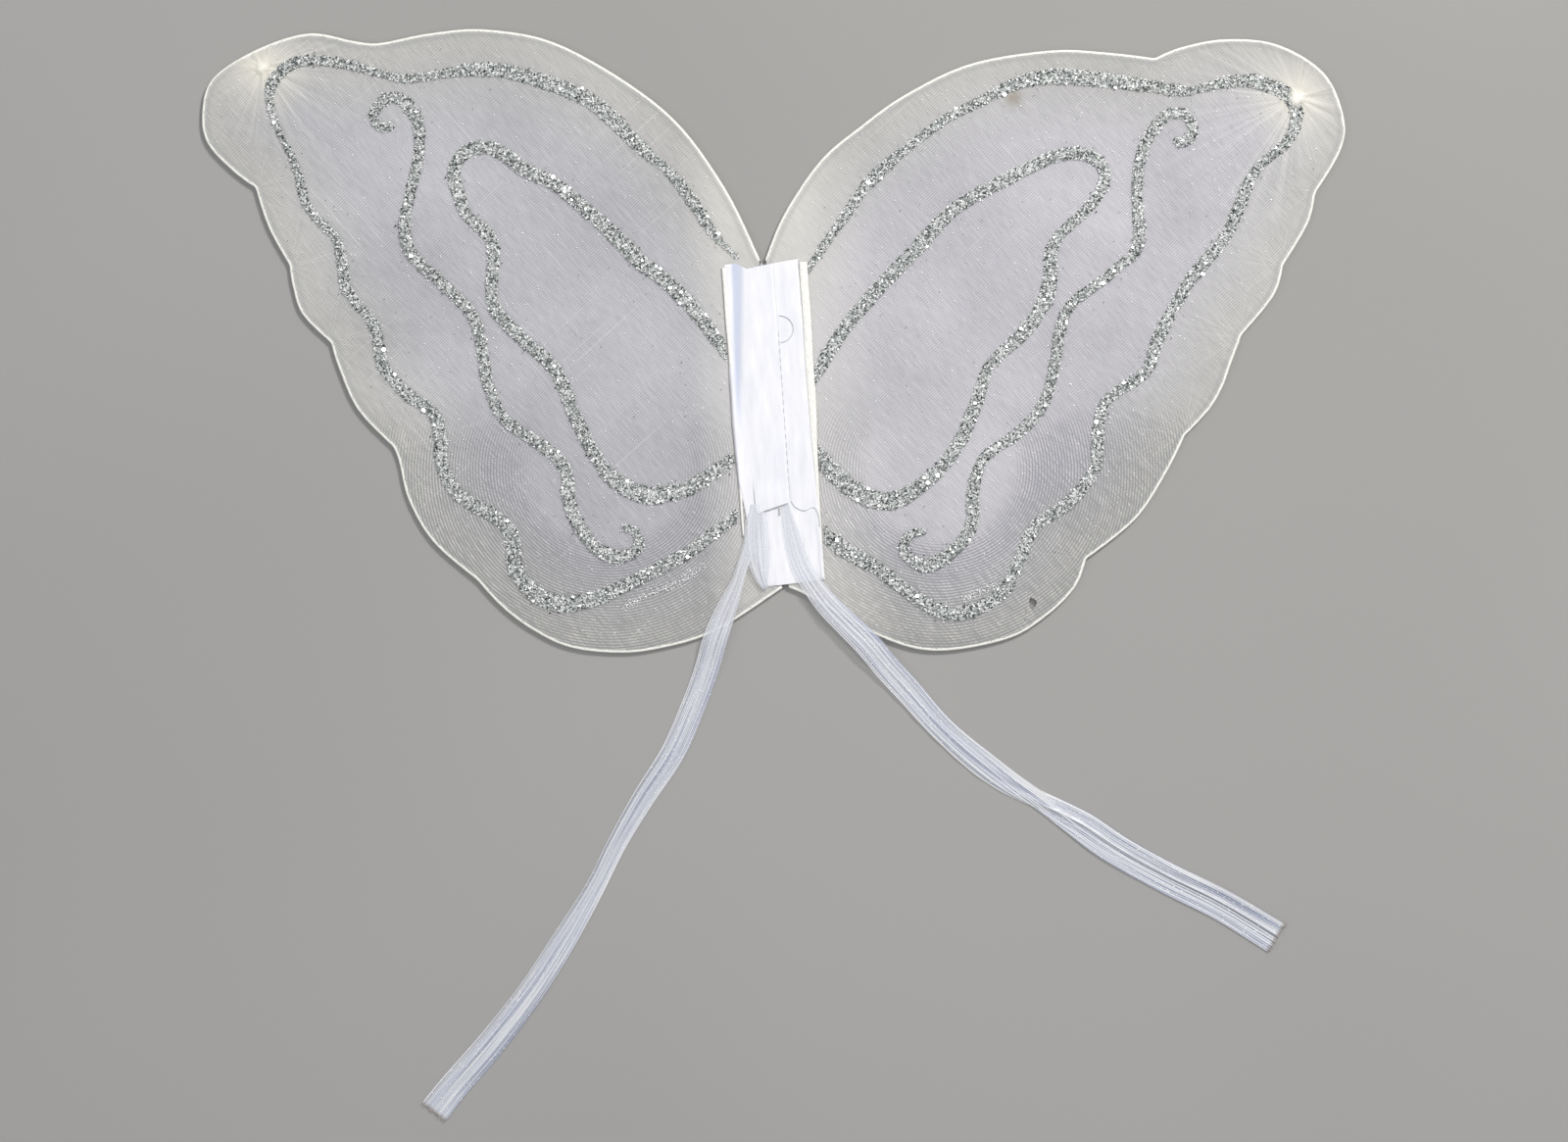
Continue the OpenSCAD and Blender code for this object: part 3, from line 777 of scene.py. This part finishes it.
def hole_ring(side):
    """The ragged edge of the small hole in the right wing."""
    if side not in HOLE:
        return []
    middle, radii = HOLE[side]
    turn = np.linspace(0, 2 * math.pi, 22, endpoint=False)
    ragged = 1 + 0.13 * np.sin(3 * turn + 1) + 0.08 * np.sin(7 * turn)
    return [middle + radii * np.stack([np.cos(turn), np.sin(turn)], -1) * ragged[:, None]]


def nylon_points(side):
    """The flat mesh that both nylon layers of a wing start from."""
    loop, holes = OUTLINE[side], hole_ring(side)
    inner = []
    for step, near, far in NYLON_STEPS:
        points = lattice(loop, step)
        away = np.linalg.norm(points - TUFT_AT[side], axis=1)
        inner.append(points[(away >= near) & (away < far)])
    inner = np.concatenate(inner)
    inner = inner[distance(inner, closed(loop)) > 0.8 * MM]
    for ring in holes:
        inner = inner[~inside(inner, ring)]
    return fill(loop, inner, holes)


def pull_lines(side, points):
    """The way that the pull lines run at each point, and how strong they are; the nylon's paint
    follows them with pale streaks, partly painted light, and dark streaks of painted shade.
    """
    tip = points - TUFT_AT[side]
    away = np.linalg.norm(tip, axis=1)
    ray = tip / np.maximum(away, 0.3 * MM)[:, None]
    pull = np.exp(-away / (PULL_REACH[side] * MM)) + 0.10 * np.exp(-away / (80 * MM))
    pull = pull * (1 - 0.5 * ease(ray[:, 0] * SIGN[side], -0.2, 0.5))
    for kink in kinks(RIM[side]):
        from_kink = points - kink
        gap = np.linalg.norm(from_kink, axis=1)
        strength = 0.6 * np.exp(-gap / (14 * MM))
        nearer = strength > pull
        ray[nearer] = from_kink[nearer] / np.maximum(gap[nearer], 0.5 * MM)[:, None]
        pull = np.maximum(pull, strength)
    return ray, pull


def nylon(side, layer, points, faces, edge):
    """One layer of a wing's nylon, which sags inside its rim and is pleated at the tip."""
    node = f"{side}_{layer}_nylon"
    low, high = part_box(node)
    towards = 1 if layer == "front" else -1
    tip = points - TUFT_AT[side]
    away = np.linalg.norm(tip, axis=1)
    pleat = ripple(unit(tip), 5.5, 4.0) * np.exp(-away / (15 * MM)) * ease(away, 0, 5 * MM)
    sag = 1 - np.exp(-edge / (7 * MM))
    height = (low.z + high.z) / 2 - towards * 0.30 * MM * sag
    height = height + 0.16 * MM * ripple(points, 38, 1.0 + towards) * sag
    height = height + (1.5 if layer == "front" else 0.9) * MM * pleat
    height = np.maximum(height, 0.35 * MM)
    weave, arcs, curved = knit_places(side, layer, points)
    ray, pull = pull_lines(side, points)
    stain = np.exp(-(np.linalg.norm(points - STAIN_AT, axis=1) / STAIN_SIZE) ** 2)
    made = piece(f"{side}_{layer}_mesh", at_height(points, height), faces,
                 sheer(side, layer), "sheer_nylon", f"{side}_wing", [node],
                 weave=weave, arcs=arcs, curved=curved, edge=edge / MM, tip=away / MM, pull=pull,
                 root=np.abs(to_spine(points)[:, 0]) / MM, stain=stain, ray=at_height(ray))


SLEEVE_RADIUS = 0.98 * MM


def sleeve_paint(name="rolled_nylon", low="EAE8DE", middle="FCFBF4", high="FFFFFB"):
    paint = Paint(name, middle, 0.6)
    wrap = paint.noise(paint.vector("around", (0.5, 0.25, 1)), 1.0, 3, 0.6)
    fine = paint.bands(paint.vector("around"), 0.35, 1.5)
    paint.put("Base Color", paint.ramp(wrap, (0.3, low), (0.5, middle), (0.7, high)))
    paint.bump(paint.plus(wrap, paint.times(fine, 0.4)), 0.15 * MM, 0.6)
    paint.put("Sheen Weight", 0.3)
    return paint


def rolled(name, line, radius, side, replaces, paint, flatten=1.0, sides=14):
    """A wire rolled in nylon: a tube with fine slanting wraps."""
    run = lengths(line)[:, None] / MM
    turn = np.arange(sides) * 2 * math.pi / sides
    wraps = 0.035 * np.sin(run * 1.9 + 2 * turn) + 0.025 * np.sin(run * 0.83 - turn + 1)
    points, faces = tube(line, radius * (1 + wraps), sides, flatten)
    around = np.stack([np.repeat(run, sides, 1) + 3 * np.sin(turn),
                       np.repeat(3 * np.cos(turn)[None], len(line), 0),
                       np.zeros((len(line), sides))], -1)
    piece(name, points, faces, paint, "gathered_nylon", f"{side}_wing", replaces,
          around=around.reshape(-1, 3))


def rims():
    paint = sleeve_paint()
    for side in SIGN:
        low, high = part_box(f"{side}_root_wire")
        line = even(smooth(RIM[side], 2), 1.4 * MM)
        rolled(f"{side}_rim_sleeve", at_height(line, (low.z + high.z) / 2), SLEEVE_RADIUS, side,
               [], paint)


def membranes():
    for side in SIGN:
        points, faces = nylon_points(side)
        edge = distance(points, RIM[side])
        for layer in ("front", "back"):
            nylon(side, layer, points, faces, edge)


# -------- glitter

GLITTER = ["border", "teardrop", "scroll"]
# Flakes on a square millimetre of a glitter line, and how many of them lie loose
FLAKES_PER_MM2 = 2.7
LOOSE_SHARE = 0.045
GLINTS_PER_MM2 = 0.016
# Stray grains for each square millimetre of the lines, and how far from them they lie
STRAYS = [(0.025, 5 * MM), (0.1, 2.2 * MM)]
# Where a little glitter has come through from the back layer, in mm
TRACE = {"left": [[-79, -97.5], [-67, -90.5], [-52, -84.5], [-37, -74.7]],
         "right": [[100.5, -92.5], [110, -87.5], [118, -84.5]]}


def flake_paint():
    paint = Paint("glitter_flakes", "9AA09C", 0.35, 0.12)
    # Flake tones from near black to white: painted glints and dark reflections, in place of the
    # light that each flake catches.
    colour = paint.ramp(paint.value("grain"), (0.0, "1E2423"), (0.24, "434A48"),
                        (0.42, "858C89"), (0.58, "D8DBD9"), (0.70, "FFFFFF"))
    paint.put("Base Color", colour)
    return paint


def glue_paint():
    paint = Paint("glitter_glue", "8E9692", 0.3)
    grains = paint.cells(paint.place(), 1100, "Color")
    light = paint.node("SeparateColor", {"Color": grains}).outputs[0]
    paint.put("Base Color", paint.ramp(light, (0.0, "636B68"), (0.35, "939B97"),
                                       (0.65, "C2C7C4"), (0.95, "F8F9F8")))
    body = paint.noise(paint.place(), 260, 2)
    paint.put("Alpha", paint.scaled(body, 0.35, 0.6, 0.62, 0.92))
    paint.bump(paint.cells(paint.place(), 1100), 0.25 * MM, 0.7)
    return paint


def flakes(name, side, paint, points, heights, sizes, tilt, bright=0.0, facing=(0.0, 0.0)):
    """Six-sided flakes that lean at random round one way, each with its own tone, a painted glint
    or dark reflection.
    """
    count = len(points)
    turn = RANDOM.uniform(0, math.pi, (count, 1)) + np.arange(6) * math.pi / 3
    lean = RANDOM.normal(facing, tilt, (count, 2))
    x = np.cos(turn) * sizes[:, None]
    y = np.sin(turn) * sizes[:, None] * RANDOM.uniform(0.75, 1, (count, 1))
    z = x * lean[:, :1] + y * lean[:, 1:]
    z = z + np.broadcast_to(heights, count)[:, None]
    corners = np.stack([x + points[:, :1], y + points[:, 1:2], z], -1).reshape(-1, 3)
    # Each flake's tone, its painted glint or dark reflection; bright raises it towards white.
    grain = np.clip(RANDOM.random(count) + bright, 0, 1)
    piece(name, corners, np.arange(count * 6).reshape(-1, 6), paint, "glitter", f"{side}_wing",
          flat=True, grain=np.repeat(grain, 6))


def scatter(node, per_mm2):
    """Random plan points on a CAD node's top face."""
    corners, triangles = top_face(node)
    corners = corners[triangles]
    size = areas(corners)
    count = int(size.sum() / MM ** 2 * per_mm2)
    chosen = corners[RANDOM.choice(len(size), count, p=size / size.sum())]
    share = RANDOM.random((count, 2))
    over = share.sum(1) > 1
    share[over] = 1 - share[over]
    return chosen[:, 0] + (share[..., None] * (chosen[:, 1:] - chosen[:, :1])).sum(1)


FEWEST_POINTS = 8


def glue_film(side, line, paint):
    """The bead of glue under the flakes, with a wandering edge."""
    node = f"{side}_{line}_glitter"
    low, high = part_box(node)
    all_points, all_faces, first = [], [], 0
    for loop in edge_loops(node):
        if len(loop) < FEWEST_POINTS:
            continue
        loop = even(closed(loop), 1.1 * MM)[:-1]
        normal = across(loop)[:, :2]
        loop = loop + normal * (0.55 * MM * ripple(loop, 420, 1.0))[:, None]
        points, faces, depth = patch(loop, 1.3 * MM, 0.5 * MM, 0.3)
        dome = 1 - np.exp(-depth / (0.9 * MM))
        lumps = 0.5 + 0.5 * ripple(points, 650, 2.0)
        height = low.z + 0.03 * MM + (high.z - low.z) * dome * (0.45 + 0.75 * lumps)
        all_points.append(at_height(points, height))
        all_faces.append(faces + first)
        first += len(points)
    piece(f"{side}_{line}_glue", np.concatenate(all_points), np.concatenate(all_faces),
          paint, "glitter", f"{side}_wing", [node])


def glitter_line(side, line, paint):
    node = f"{side}_{line}_glitter"
    low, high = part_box(node)
    points = scatter(node, FLAKES_PER_MM2)
    spread = np.where(RANDOM.random(len(points)) < LOOSE_SHARE, 1.3, 0.14) * MM
    points = points + RANDOM.normal(0, 1, points.shape) * spread[:, None]
    sizes = (0.22 + 0.36 * RANDOM.random(len(points)) ** 2) * MM
    heights = RANDOM.uniform(low.z + 0.25 * MM, high.z + 0.25 * MM, len(points))
    # Patches where the flakes are painted brighter or darker, as painted glints and dark
    # reflections.
    patchy = 0.45 * ripple(points, 620, 3.0)
    flakes(f"{side}_{line}_flakes", side, paint, points, heights, sizes, 0.36, patchy)


def stray_glitter(side, paint):
    """Loose grains: all over a wing, along its lines, and in one faint trace."""
    points = lattice(OUTLINE[side], 9 * MM, 1.4)
    points = points[distance(points, RIM[side]) > 2.5 * MM]
    for per_mm2, reach in STRAYS:
        near = np.concatenate([scatter(f"{side}_{line}_glitter", per_mm2) for line in GLITTER])
        near = near + RANDOM.normal(0, reach, near.shape)
        points = np.concatenate([points, near[inside(near, OUTLINE[side])]])
    trace = even(smooth(np.array(TRACE[side]) * MM, 8), 0.15 * MM)
    points = np.concatenate([points, trace + RANDOM.normal(0, 1.1 * MM, trace.shape)])
    points = points[np.abs(to_spine(points)[:, 0]) > 24 * MM]
    sizes = RANDOM.uniform(0.18, 0.36, len(points)) * MM
    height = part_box(f"{side}_border_glitter")[0].z + 0.12 * MM
    flakes(f"{side}_stray_glitter", side, paint, points, height, sizes, 0.12, 0.32)


def glint_paint():
    paint = Paint("glitter_glints", "FFFFFF", 0.15, 0.9)
    sheen = paint.noise(paint.place(), 1500, 2)
    paint.put("Roughness", paint.scaled(sheen, 0.3, 0.7, 0.1, 0.2))
    return paint


def glints(side, paint):
    """A few larger flakes that lean towards the key light."""
    points = np.concatenate([scatter(f"{side}_{line}_glitter", GLINTS_PER_MM2)
                             for line in GLITTER])
    sizes = (0.35 + 0.75 * RANDOM.random(len(points)) ** 2) * MM
    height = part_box(f"{side}_border_glitter")[1].z + 0.5 * MM
    half = Vector(LIGHTS["key"][0]).normalized() + Vector((0, 0, 1))
    facing = (-half.x / half.z, -half.y / half.z)
    flakes(f"{side}_glints", side, paint, points, height, sizes, 0.09, facing=facing)


def glitter():
    flake, glue, glint = flake_paint(), glue_paint(), glint_paint()
    for side in SIGN:
        for line in GLITTER:
            glue_film(side, line, glue)
            glitter_line(side, line, flake)
        stray_glitter(side, flake)
        glints(side, glint)


# -------- spine cover

# Places in millimetres in the spine's frame: the seam, the cover's length and the flap's
SEAM_X = 5.6
SEAM_TOP = 56
COVER_LENGTH = 170
FLAP_FOOT = -44
FLAP_LENGTH = 128
# The cover's outlines in the same frame, each a list of places and a list of values there
LEFT_EDGE = ([-86, -50, -30, 0, 40, 86], [-10.9, -17.8, -20.9, -22, -21.4, -20.3])
RIGHT_EDGE = ([-86, -45, 0, 86], [21.2, 20.4, 19.4, 18.6])
TOP_EDGE = ([-20, -14, -9, -1, 12, 20], [85.4, 85.8, 82.4, 83.6, 85.2, 85.9])
BOTTOM_EDGE = ([-11, 8, 20], [-85.5, -84.7, -84])
FLAP_EDGE = ([-46, 0, 27, 86], [-12.4, -14.2, -14.8, -9.3])
VALLEY_LEFT = ([-15, 27, 86], [-19.6, -19, -16.9])
VALLEY_RIGHT = ([-15, 27, 86], [-18.6, -15.2, -10])


def along_edge(edge, at):
    return np.interp(at, *edge)


def cotton():
    paint = Paint("cover_cotton", "F4F4F9", 0.85)
    across_threads = paint.bands(paint.vector("weave"), 0.55, 0.4)
    along_threads = paint.bands(paint.vector("weave"), 0.55, 0.4, "Y")
    weave = paint.times(across_threads, along_threads)
    slub = paint.noise(paint.vector("weave", (0.25, 0.05, 1)), 1.0, 3)
    cloud = paint.noise(paint.vector("weave", (0.05, 0.02, 1)), 1.0, 2)
    colour = paint.ramp(slub, (0.3, "ECEDF3"), (0.5, "F4F4F9"), (0.7, "FBFBFE"))
    colour = paint.mix(paint.scaled(cloud, 0.45, 0.75, 0, 0.5), colour, "E6E9F2")
    # Painted shade: the hollow beside the flap is tinted blue.
    painted_valley_shade = paint.value("valley")
    colour = paint.over(colour, "B4C0DC", painted_valley_shade, 0.6)
    paint.put("Base Color", colour)
    paint.put("Sheen Weight", 0.25)
    height = paint.plus(paint.times(weave, 0.5), slub)
    paint.bump(height, 0.1 * MM, 0.4)
    return paint


def cover_valley(x, y):
    """How deep a place is in the long hollow beside the flap, from 0 to 1; the cloth there is also
    tinted blue as painted shade.
    """
    left, right = along_edge(VALLEY_LEFT, y), along_edge(VALLEY_RIGHT, y)
    return ease(x, left - 0.7, left + 1.2) * ease(x, right + 0.9, right - 2.2) * ease(y, -18, 25)


def cover_height(x, y):
    """Height of the cover above the nylon, in mm, at places in the spine's frame."""
    flat = np.stack([x.ravel(), y.ravel()], -1)
    creases = ripple(flat, (0.16, 0.022), 3.0).reshape(x.shape)
    fine = ripple(flat, (0.5, 0.06), 8.0).reshape(x.shape)
    left_welt = 1.5 * np.exp(-((x + 21) / 2.0) ** 2) * ease(y, 42, 20) * ease(y, -52, -40)
    right_welt = 1.6 * np.exp(-((x - 21.4) / 2.0) ** 2) * ease(y, -25, -50)
    crown = 0.3 * np.exp(-((x - 16) / 2.5) ** 2)
    height = 0.5 + 0.12 * creases + 0.05 * fine + crown + left_welt + right_welt
    return height - 0.42 * cover_valley(x, y)


def spine_piece(name, side, x, y, lift, paint, valley, replaces):
    """A grid of cloth in millimetres in the spine's frame, and above the nylon."""
    place = np.stack([x.ravel(), y.ravel()], -1)
    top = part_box(f"{side}_front_nylon")[1].z
    points = at_height(from_spine(place * MM), (top + lift * MM).ravel())
    faces = quads(*x.shape)
    if side == "right":
        faces = faces[:, ::-1]
    made = piece(name, points, faces, paint, "white_cover", replaces=replaces,
                 valley=valley.ravel(), weave=at_height(place))
    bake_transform(made)
    return made


def cover_half(side, paint):
    """Half of the folded cover."""
    rows = np.linspace(0, 1, 190)[:, None]
    share = np.linspace(0, 1, 44)
    edge = LEFT_EDGE if side == "left" else RIGHT_EDGE
    level = COVER_LENGTH * (rows - 0.5)
    outer = along_edge(edge, level)
    wander = 0.3 * ripple(at_height(level), 0.06, SIGN[side])
    x = (outer + wander[:, None]) * share
    low, high = along_edge(BOTTOM_EDGE, x), along_edge(TOP_EDGE, x)
    y = low + (high - low) * rows
    lift = cover_height(x, y)
    rim = np.clip((1 - share) * np.abs(outer) / 1.3, 0, 1)
    ends = np.clip(np.minimum(y - low, high - y) / 1.4, 0, 1)
    lift = lift * (0.2 + 0.8 * np.sqrt(rim)) * (0.3 + 0.7 * np.sqrt(ends))
    lift = np.where(np.abs(x) < 5, np.maximum(lift, 0.5), np.maximum(lift, 0.12))
    made = spine_piece(f"{side}_cover_cloth", side, x, y, lift, paint,
                       cover_valley(x, y), [f"{side}_cover_half"])


def flap_half(side, paint):
    """Half of the cover's folded-over band; its right edge is turned under at the seam."""
    share = np.linspace(0, 1, 30)
    rows = np.linspace(0, 1, 150)[:, None]
    level = FLAP_FOOT + FLAP_LENGTH * rows
    if side == "left":
        outer, reach = along_edge(FLAP_EDGE, level), share
    else:
        outer = SEAM_X + 0 * level
        reach = np.where(share <= 0.55, share / 0.55, 1 - 0.8 * (share - 0.55) / 0.45)
    x = outer * reach
    low = -43.4 + 0.26 * x
    y = low + (along_edge(TOP_EDGE, x) - 0.25 - low) * rows
    raised = ease(y, -28, -41) * (0.65 + 0.35 * ease(x, -11, -3))
    if side == "left":
        gap = 0.05 + 0.41 * ease((1 - reach) * np.abs(outer), 0, 5)
    else:
        sewn = ease(y, SEAM_TOP + 6, SEAM_TOP)
        under = np.clip((share - 0.55) / 0.05, 0, 1)
        to_edge = np.clip((1 - reach) * np.abs(outer) / 1.2, 0, 1)
        gap = 0.42 - 0.2 * (1 - np.sqrt(to_edge)) - 0.17 * under
        gap = gap * (to_edge + (1 - to_edge) * sewn) + 0.04
    lift = np.maximum(cover_height(x, y), 0.5) + gap + 1.4 * raised
    made = spine_piece(f"{side}_flap_cloth", side, x, y, lift, paint, 0 * x,
                       ["fold_flap"] if side == "left" else [])


def lower_thread(paint):
    """A thread end that trails from the foot of the seam across the right half."""
    way = np.array([[6.2, -41.5], [8, -44.6], [12.7, -47], [17.6, -45.6], [20, -49],
                    [20.4, -56]])
    line = even(smooth(way, 8) * MM, 0.7 * MM)
    lift = 0.85 * MM + 0.9 * MM * ease(line[:, 0], 17 * MM, 20 * MM)
    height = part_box("right_front_nylon")[1].z + lift
    points, faces = tube(at_height(from_spine(line), height), 0.14 * MM, 8)
    piece("trailing_thread", points, faces, paint, "seam_thread", "right_wing")


def back_panel(paint):
    """The backing strip, with a turned hem all round."""
    loop = even(closed(edge_loops("back_panel")[0]), 2 * MM)[:-1]
    low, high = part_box("back_panel")
    points, faces, depth = patch(loop, 1.8 * MM, 0.7 * MM)
    edge_band = ease(depth, 0, 0.8 * MM) * (1 - 0.5 * ease(depth, 5 * MM, 6 * MM))
    height = low.z + 0.1 * MM + (high.z - low.z) * 0.7 * edge_band
    height = height + 0.08 * MM * ripple(points, 90, 4.0)
    made = piece("back_panel_cloth", at_height(points, height), faces, paint, "white_cover",
                 "spine", ["back_panel"], valley=0 * depth, weave=at_height(to_spine(points) / MM))


# Each welt's radius at its top and its foot, and the places of its foot and its top, in mm
WELTS = {"left": (0.95, 0.6, (-20.0, -58), (-20.9, 84)),
         "right": (2.2, 0.75, (20.2, -80), (21.3, 84))}
WELT_RISE = 0.55 * MM


def welts():
    """Nylon rolled round the straight stretches of wire beside the cover."""
    paint = sleeve_paint("welt_nylon", "EEECE4", "FAF9F4", "FFFFFC")
    for side, (wide, narrow, *ends) in WELTS.items():
        line = even(from_spine(np.array(ends) * MM), 1.2 * MM)
        radius = narrow + (wide - narrow) * ease(to_spine(line)[:, 1], -45 * MM, 20 * MM)
        line = line + 0.25 * MM * ripple(line, 45, 2.0)[:, None] * ACROSS
        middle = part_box(f"{side}_cover_welt")[0].z + WELT_RISE
        rolled(f"{side}_welt_roll", at_height(line, middle), radius[:, None] * MM, side,
               [f"{side}_cover_welt"], paint, WELT_RISE / MM / wide)


# -------- tips

GATHER_R = {"left": 4.5 * MM, "right": 6.5 * MM}


def disc(rings, spokes, peak, shape):
    """Rings of points round a peak; shape gives the radius and height at a share of the way."""
    share = np.repeat(np.arange(1, rings + 1) / rings, spokes)
    turn = np.tile(np.arange(spokes) * 2 * math.pi / spokes, rings)
    radius, height = shape(share, turn)
    rim = np.stack([radius * np.cos(turn), radius * np.sin(turn), height], -1)
    faces = [(0, 1 + s, 1 + (s + 1) % spokes) for s in range(spokes)]
    return np.concatenate([[[0, 0, peak]], rim]), faces + ring_faces(rings, spokes, 1)


def tufts():
    """The gathered nylon on the back of each tip."""
    paint = sleeve_paint()
    for side in SIGN:
        low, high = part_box(f"{side}_tip_tuft")
        tall = high.z - low.z

        def pleated(share, turn):
            pleat = (np.sin(9 * turn) + 0.5 * np.sin(14 * turn + 1)) * share
            height = tall * (1 - 0.75 * ease(share, 0.25, 0.7) + 0.16 * pleat)
            return (0.6 + 4.6 * share + 0.35 * pleat) * MM, np.clip(height, 0.06 * MM, tall)

        points, faces = disc(9, 56, tall, pleated)
        around = (points + [0, 0, low.z]) / MM
        piece(f"{side}_tuft_rosette", points + [*TUFT_AT[side], low.z], faces, paint,
              "gathered_nylon", f"{side}_wing", [f"{side}_tip_tuft"], around=around)


def gather_paint():
    paint = Paint("gathered_ivory", "FBF8EC", 0.6)
    ray = paint.noise(paint.vector("ray", (12, 12, 0.0)), 1.0, 3, 0.6)
    paint.put("Base Color", paint.ramp(ray, (0.3, "EFEBDC"), (0.6, "FFFDF6")))
    spread = paint.scaled(paint.value("away"), 1, 0)
    streaks = paint.scaled(ray, 0.35, 0.65, -0.25, 0.35)
    solid = paint.plus(spread, paint.times(streaks, spread))
    paint.put("Alpha", paint.scaled(solid, 0.12, 0.75))
    paint.bump(ray, 0.2 * MM, 0.5)
    return paint


def gathers():
    """The gathered nylon that shows at the front of each tip, over the glitter."""
    paint = gather_paint()
    rings, spokes = 8, 40
    for side in SIGN:
        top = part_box(f"{side}_border_glitter")[1].z + 0.55 * MM

        def petals(share, turn):
            height = 0.25 * MM * (1 - share) + 0.06 * MM * np.sin(11 * turn) * share
            return GATHER_R[side] * share * (1 + 0.12 * np.sin(3 * turn + 1)), height

        points, faces = disc(rings, spokes, 0.25 * MM, petals)
        away = np.append(0, np.repeat(np.arange(1, rings + 1) / rings, spokes))
        piece(f"{side}_tip_gather", points + [*TUFT_AT[side], top], faces, paint,
              "gathered_nylon", f"{side}_wing", ray=at_height(unit(points[:, :2])), away=away)


# -------- carried-over CAD nodes

def thread_paint(name, colour):
    paint = Paint(name, colour, 0.75)
    ply = paint.bands(paint.place(), 420, 1.2, "DIAGONAL")
    fuzz = paint.noise(paint.place(), 2200, 3)
    paint.put("Base Color", paint.mix(paint.scaled(fuzz, 0.3, 0.7, 0, 0.5), colour, "A9A9A6"))
    paint.bump(paint.plus(ply, fuzz), 0.1 * MM, 0.7)
    return paint


def metal_paint(name, colour, roughness):
    paint = Paint(name, colour, roughness, 1.0)
    draw = paint.noise(paint.place((60, 3, 60)), 40, 3)
    paint.put("Roughness", paint.scaled(draw, 0.3, 0.7, roughness - 0.08, roughness + 0.12))
    paint.bump(draw, 0.03 * MM, 0.5)
    return paint


def dress(nodes, paint):
    for node in nodes:
        data = frame["nodes"][node].data
        data.materials.clear()
        data.materials.append(paint.material)


def carried_over():
    thread = thread_paint("lashing_cotton", "E4E3DE")
    grey = thread_paint("seam_cotton", "BEC1CB")
    steel = metal_paint("drawn_steel", "A7A9AC", 0.34)
    brass = metal_paint("splice_tube", "B8B4A8", 0.4)
    dress(["upper_lashing", "middle_lashing", "lower_lashing", "ribbon_tack"], thread)
    dress(["seam_stitches", "loose_thread", "left_tip_tie", "right_tip_tie"], grey)
    lower_thread(grey)
    for side in SIGN:
        dress([f"{side}_rim_wire", f"{side}_root_wire"], steel)
        dress([f"{side}_wire_splice"], brass)


camera()
ribbons()
studio()
floor()
membranes()
rims()
glitter()
cover_paint = cotton()
for name in SIGN:
    cover_half(name, cover_paint)
    flap_half(name, cover_paint)
back_panel(cover_paint)
welts()
tufts()
gathers()
carried_over()
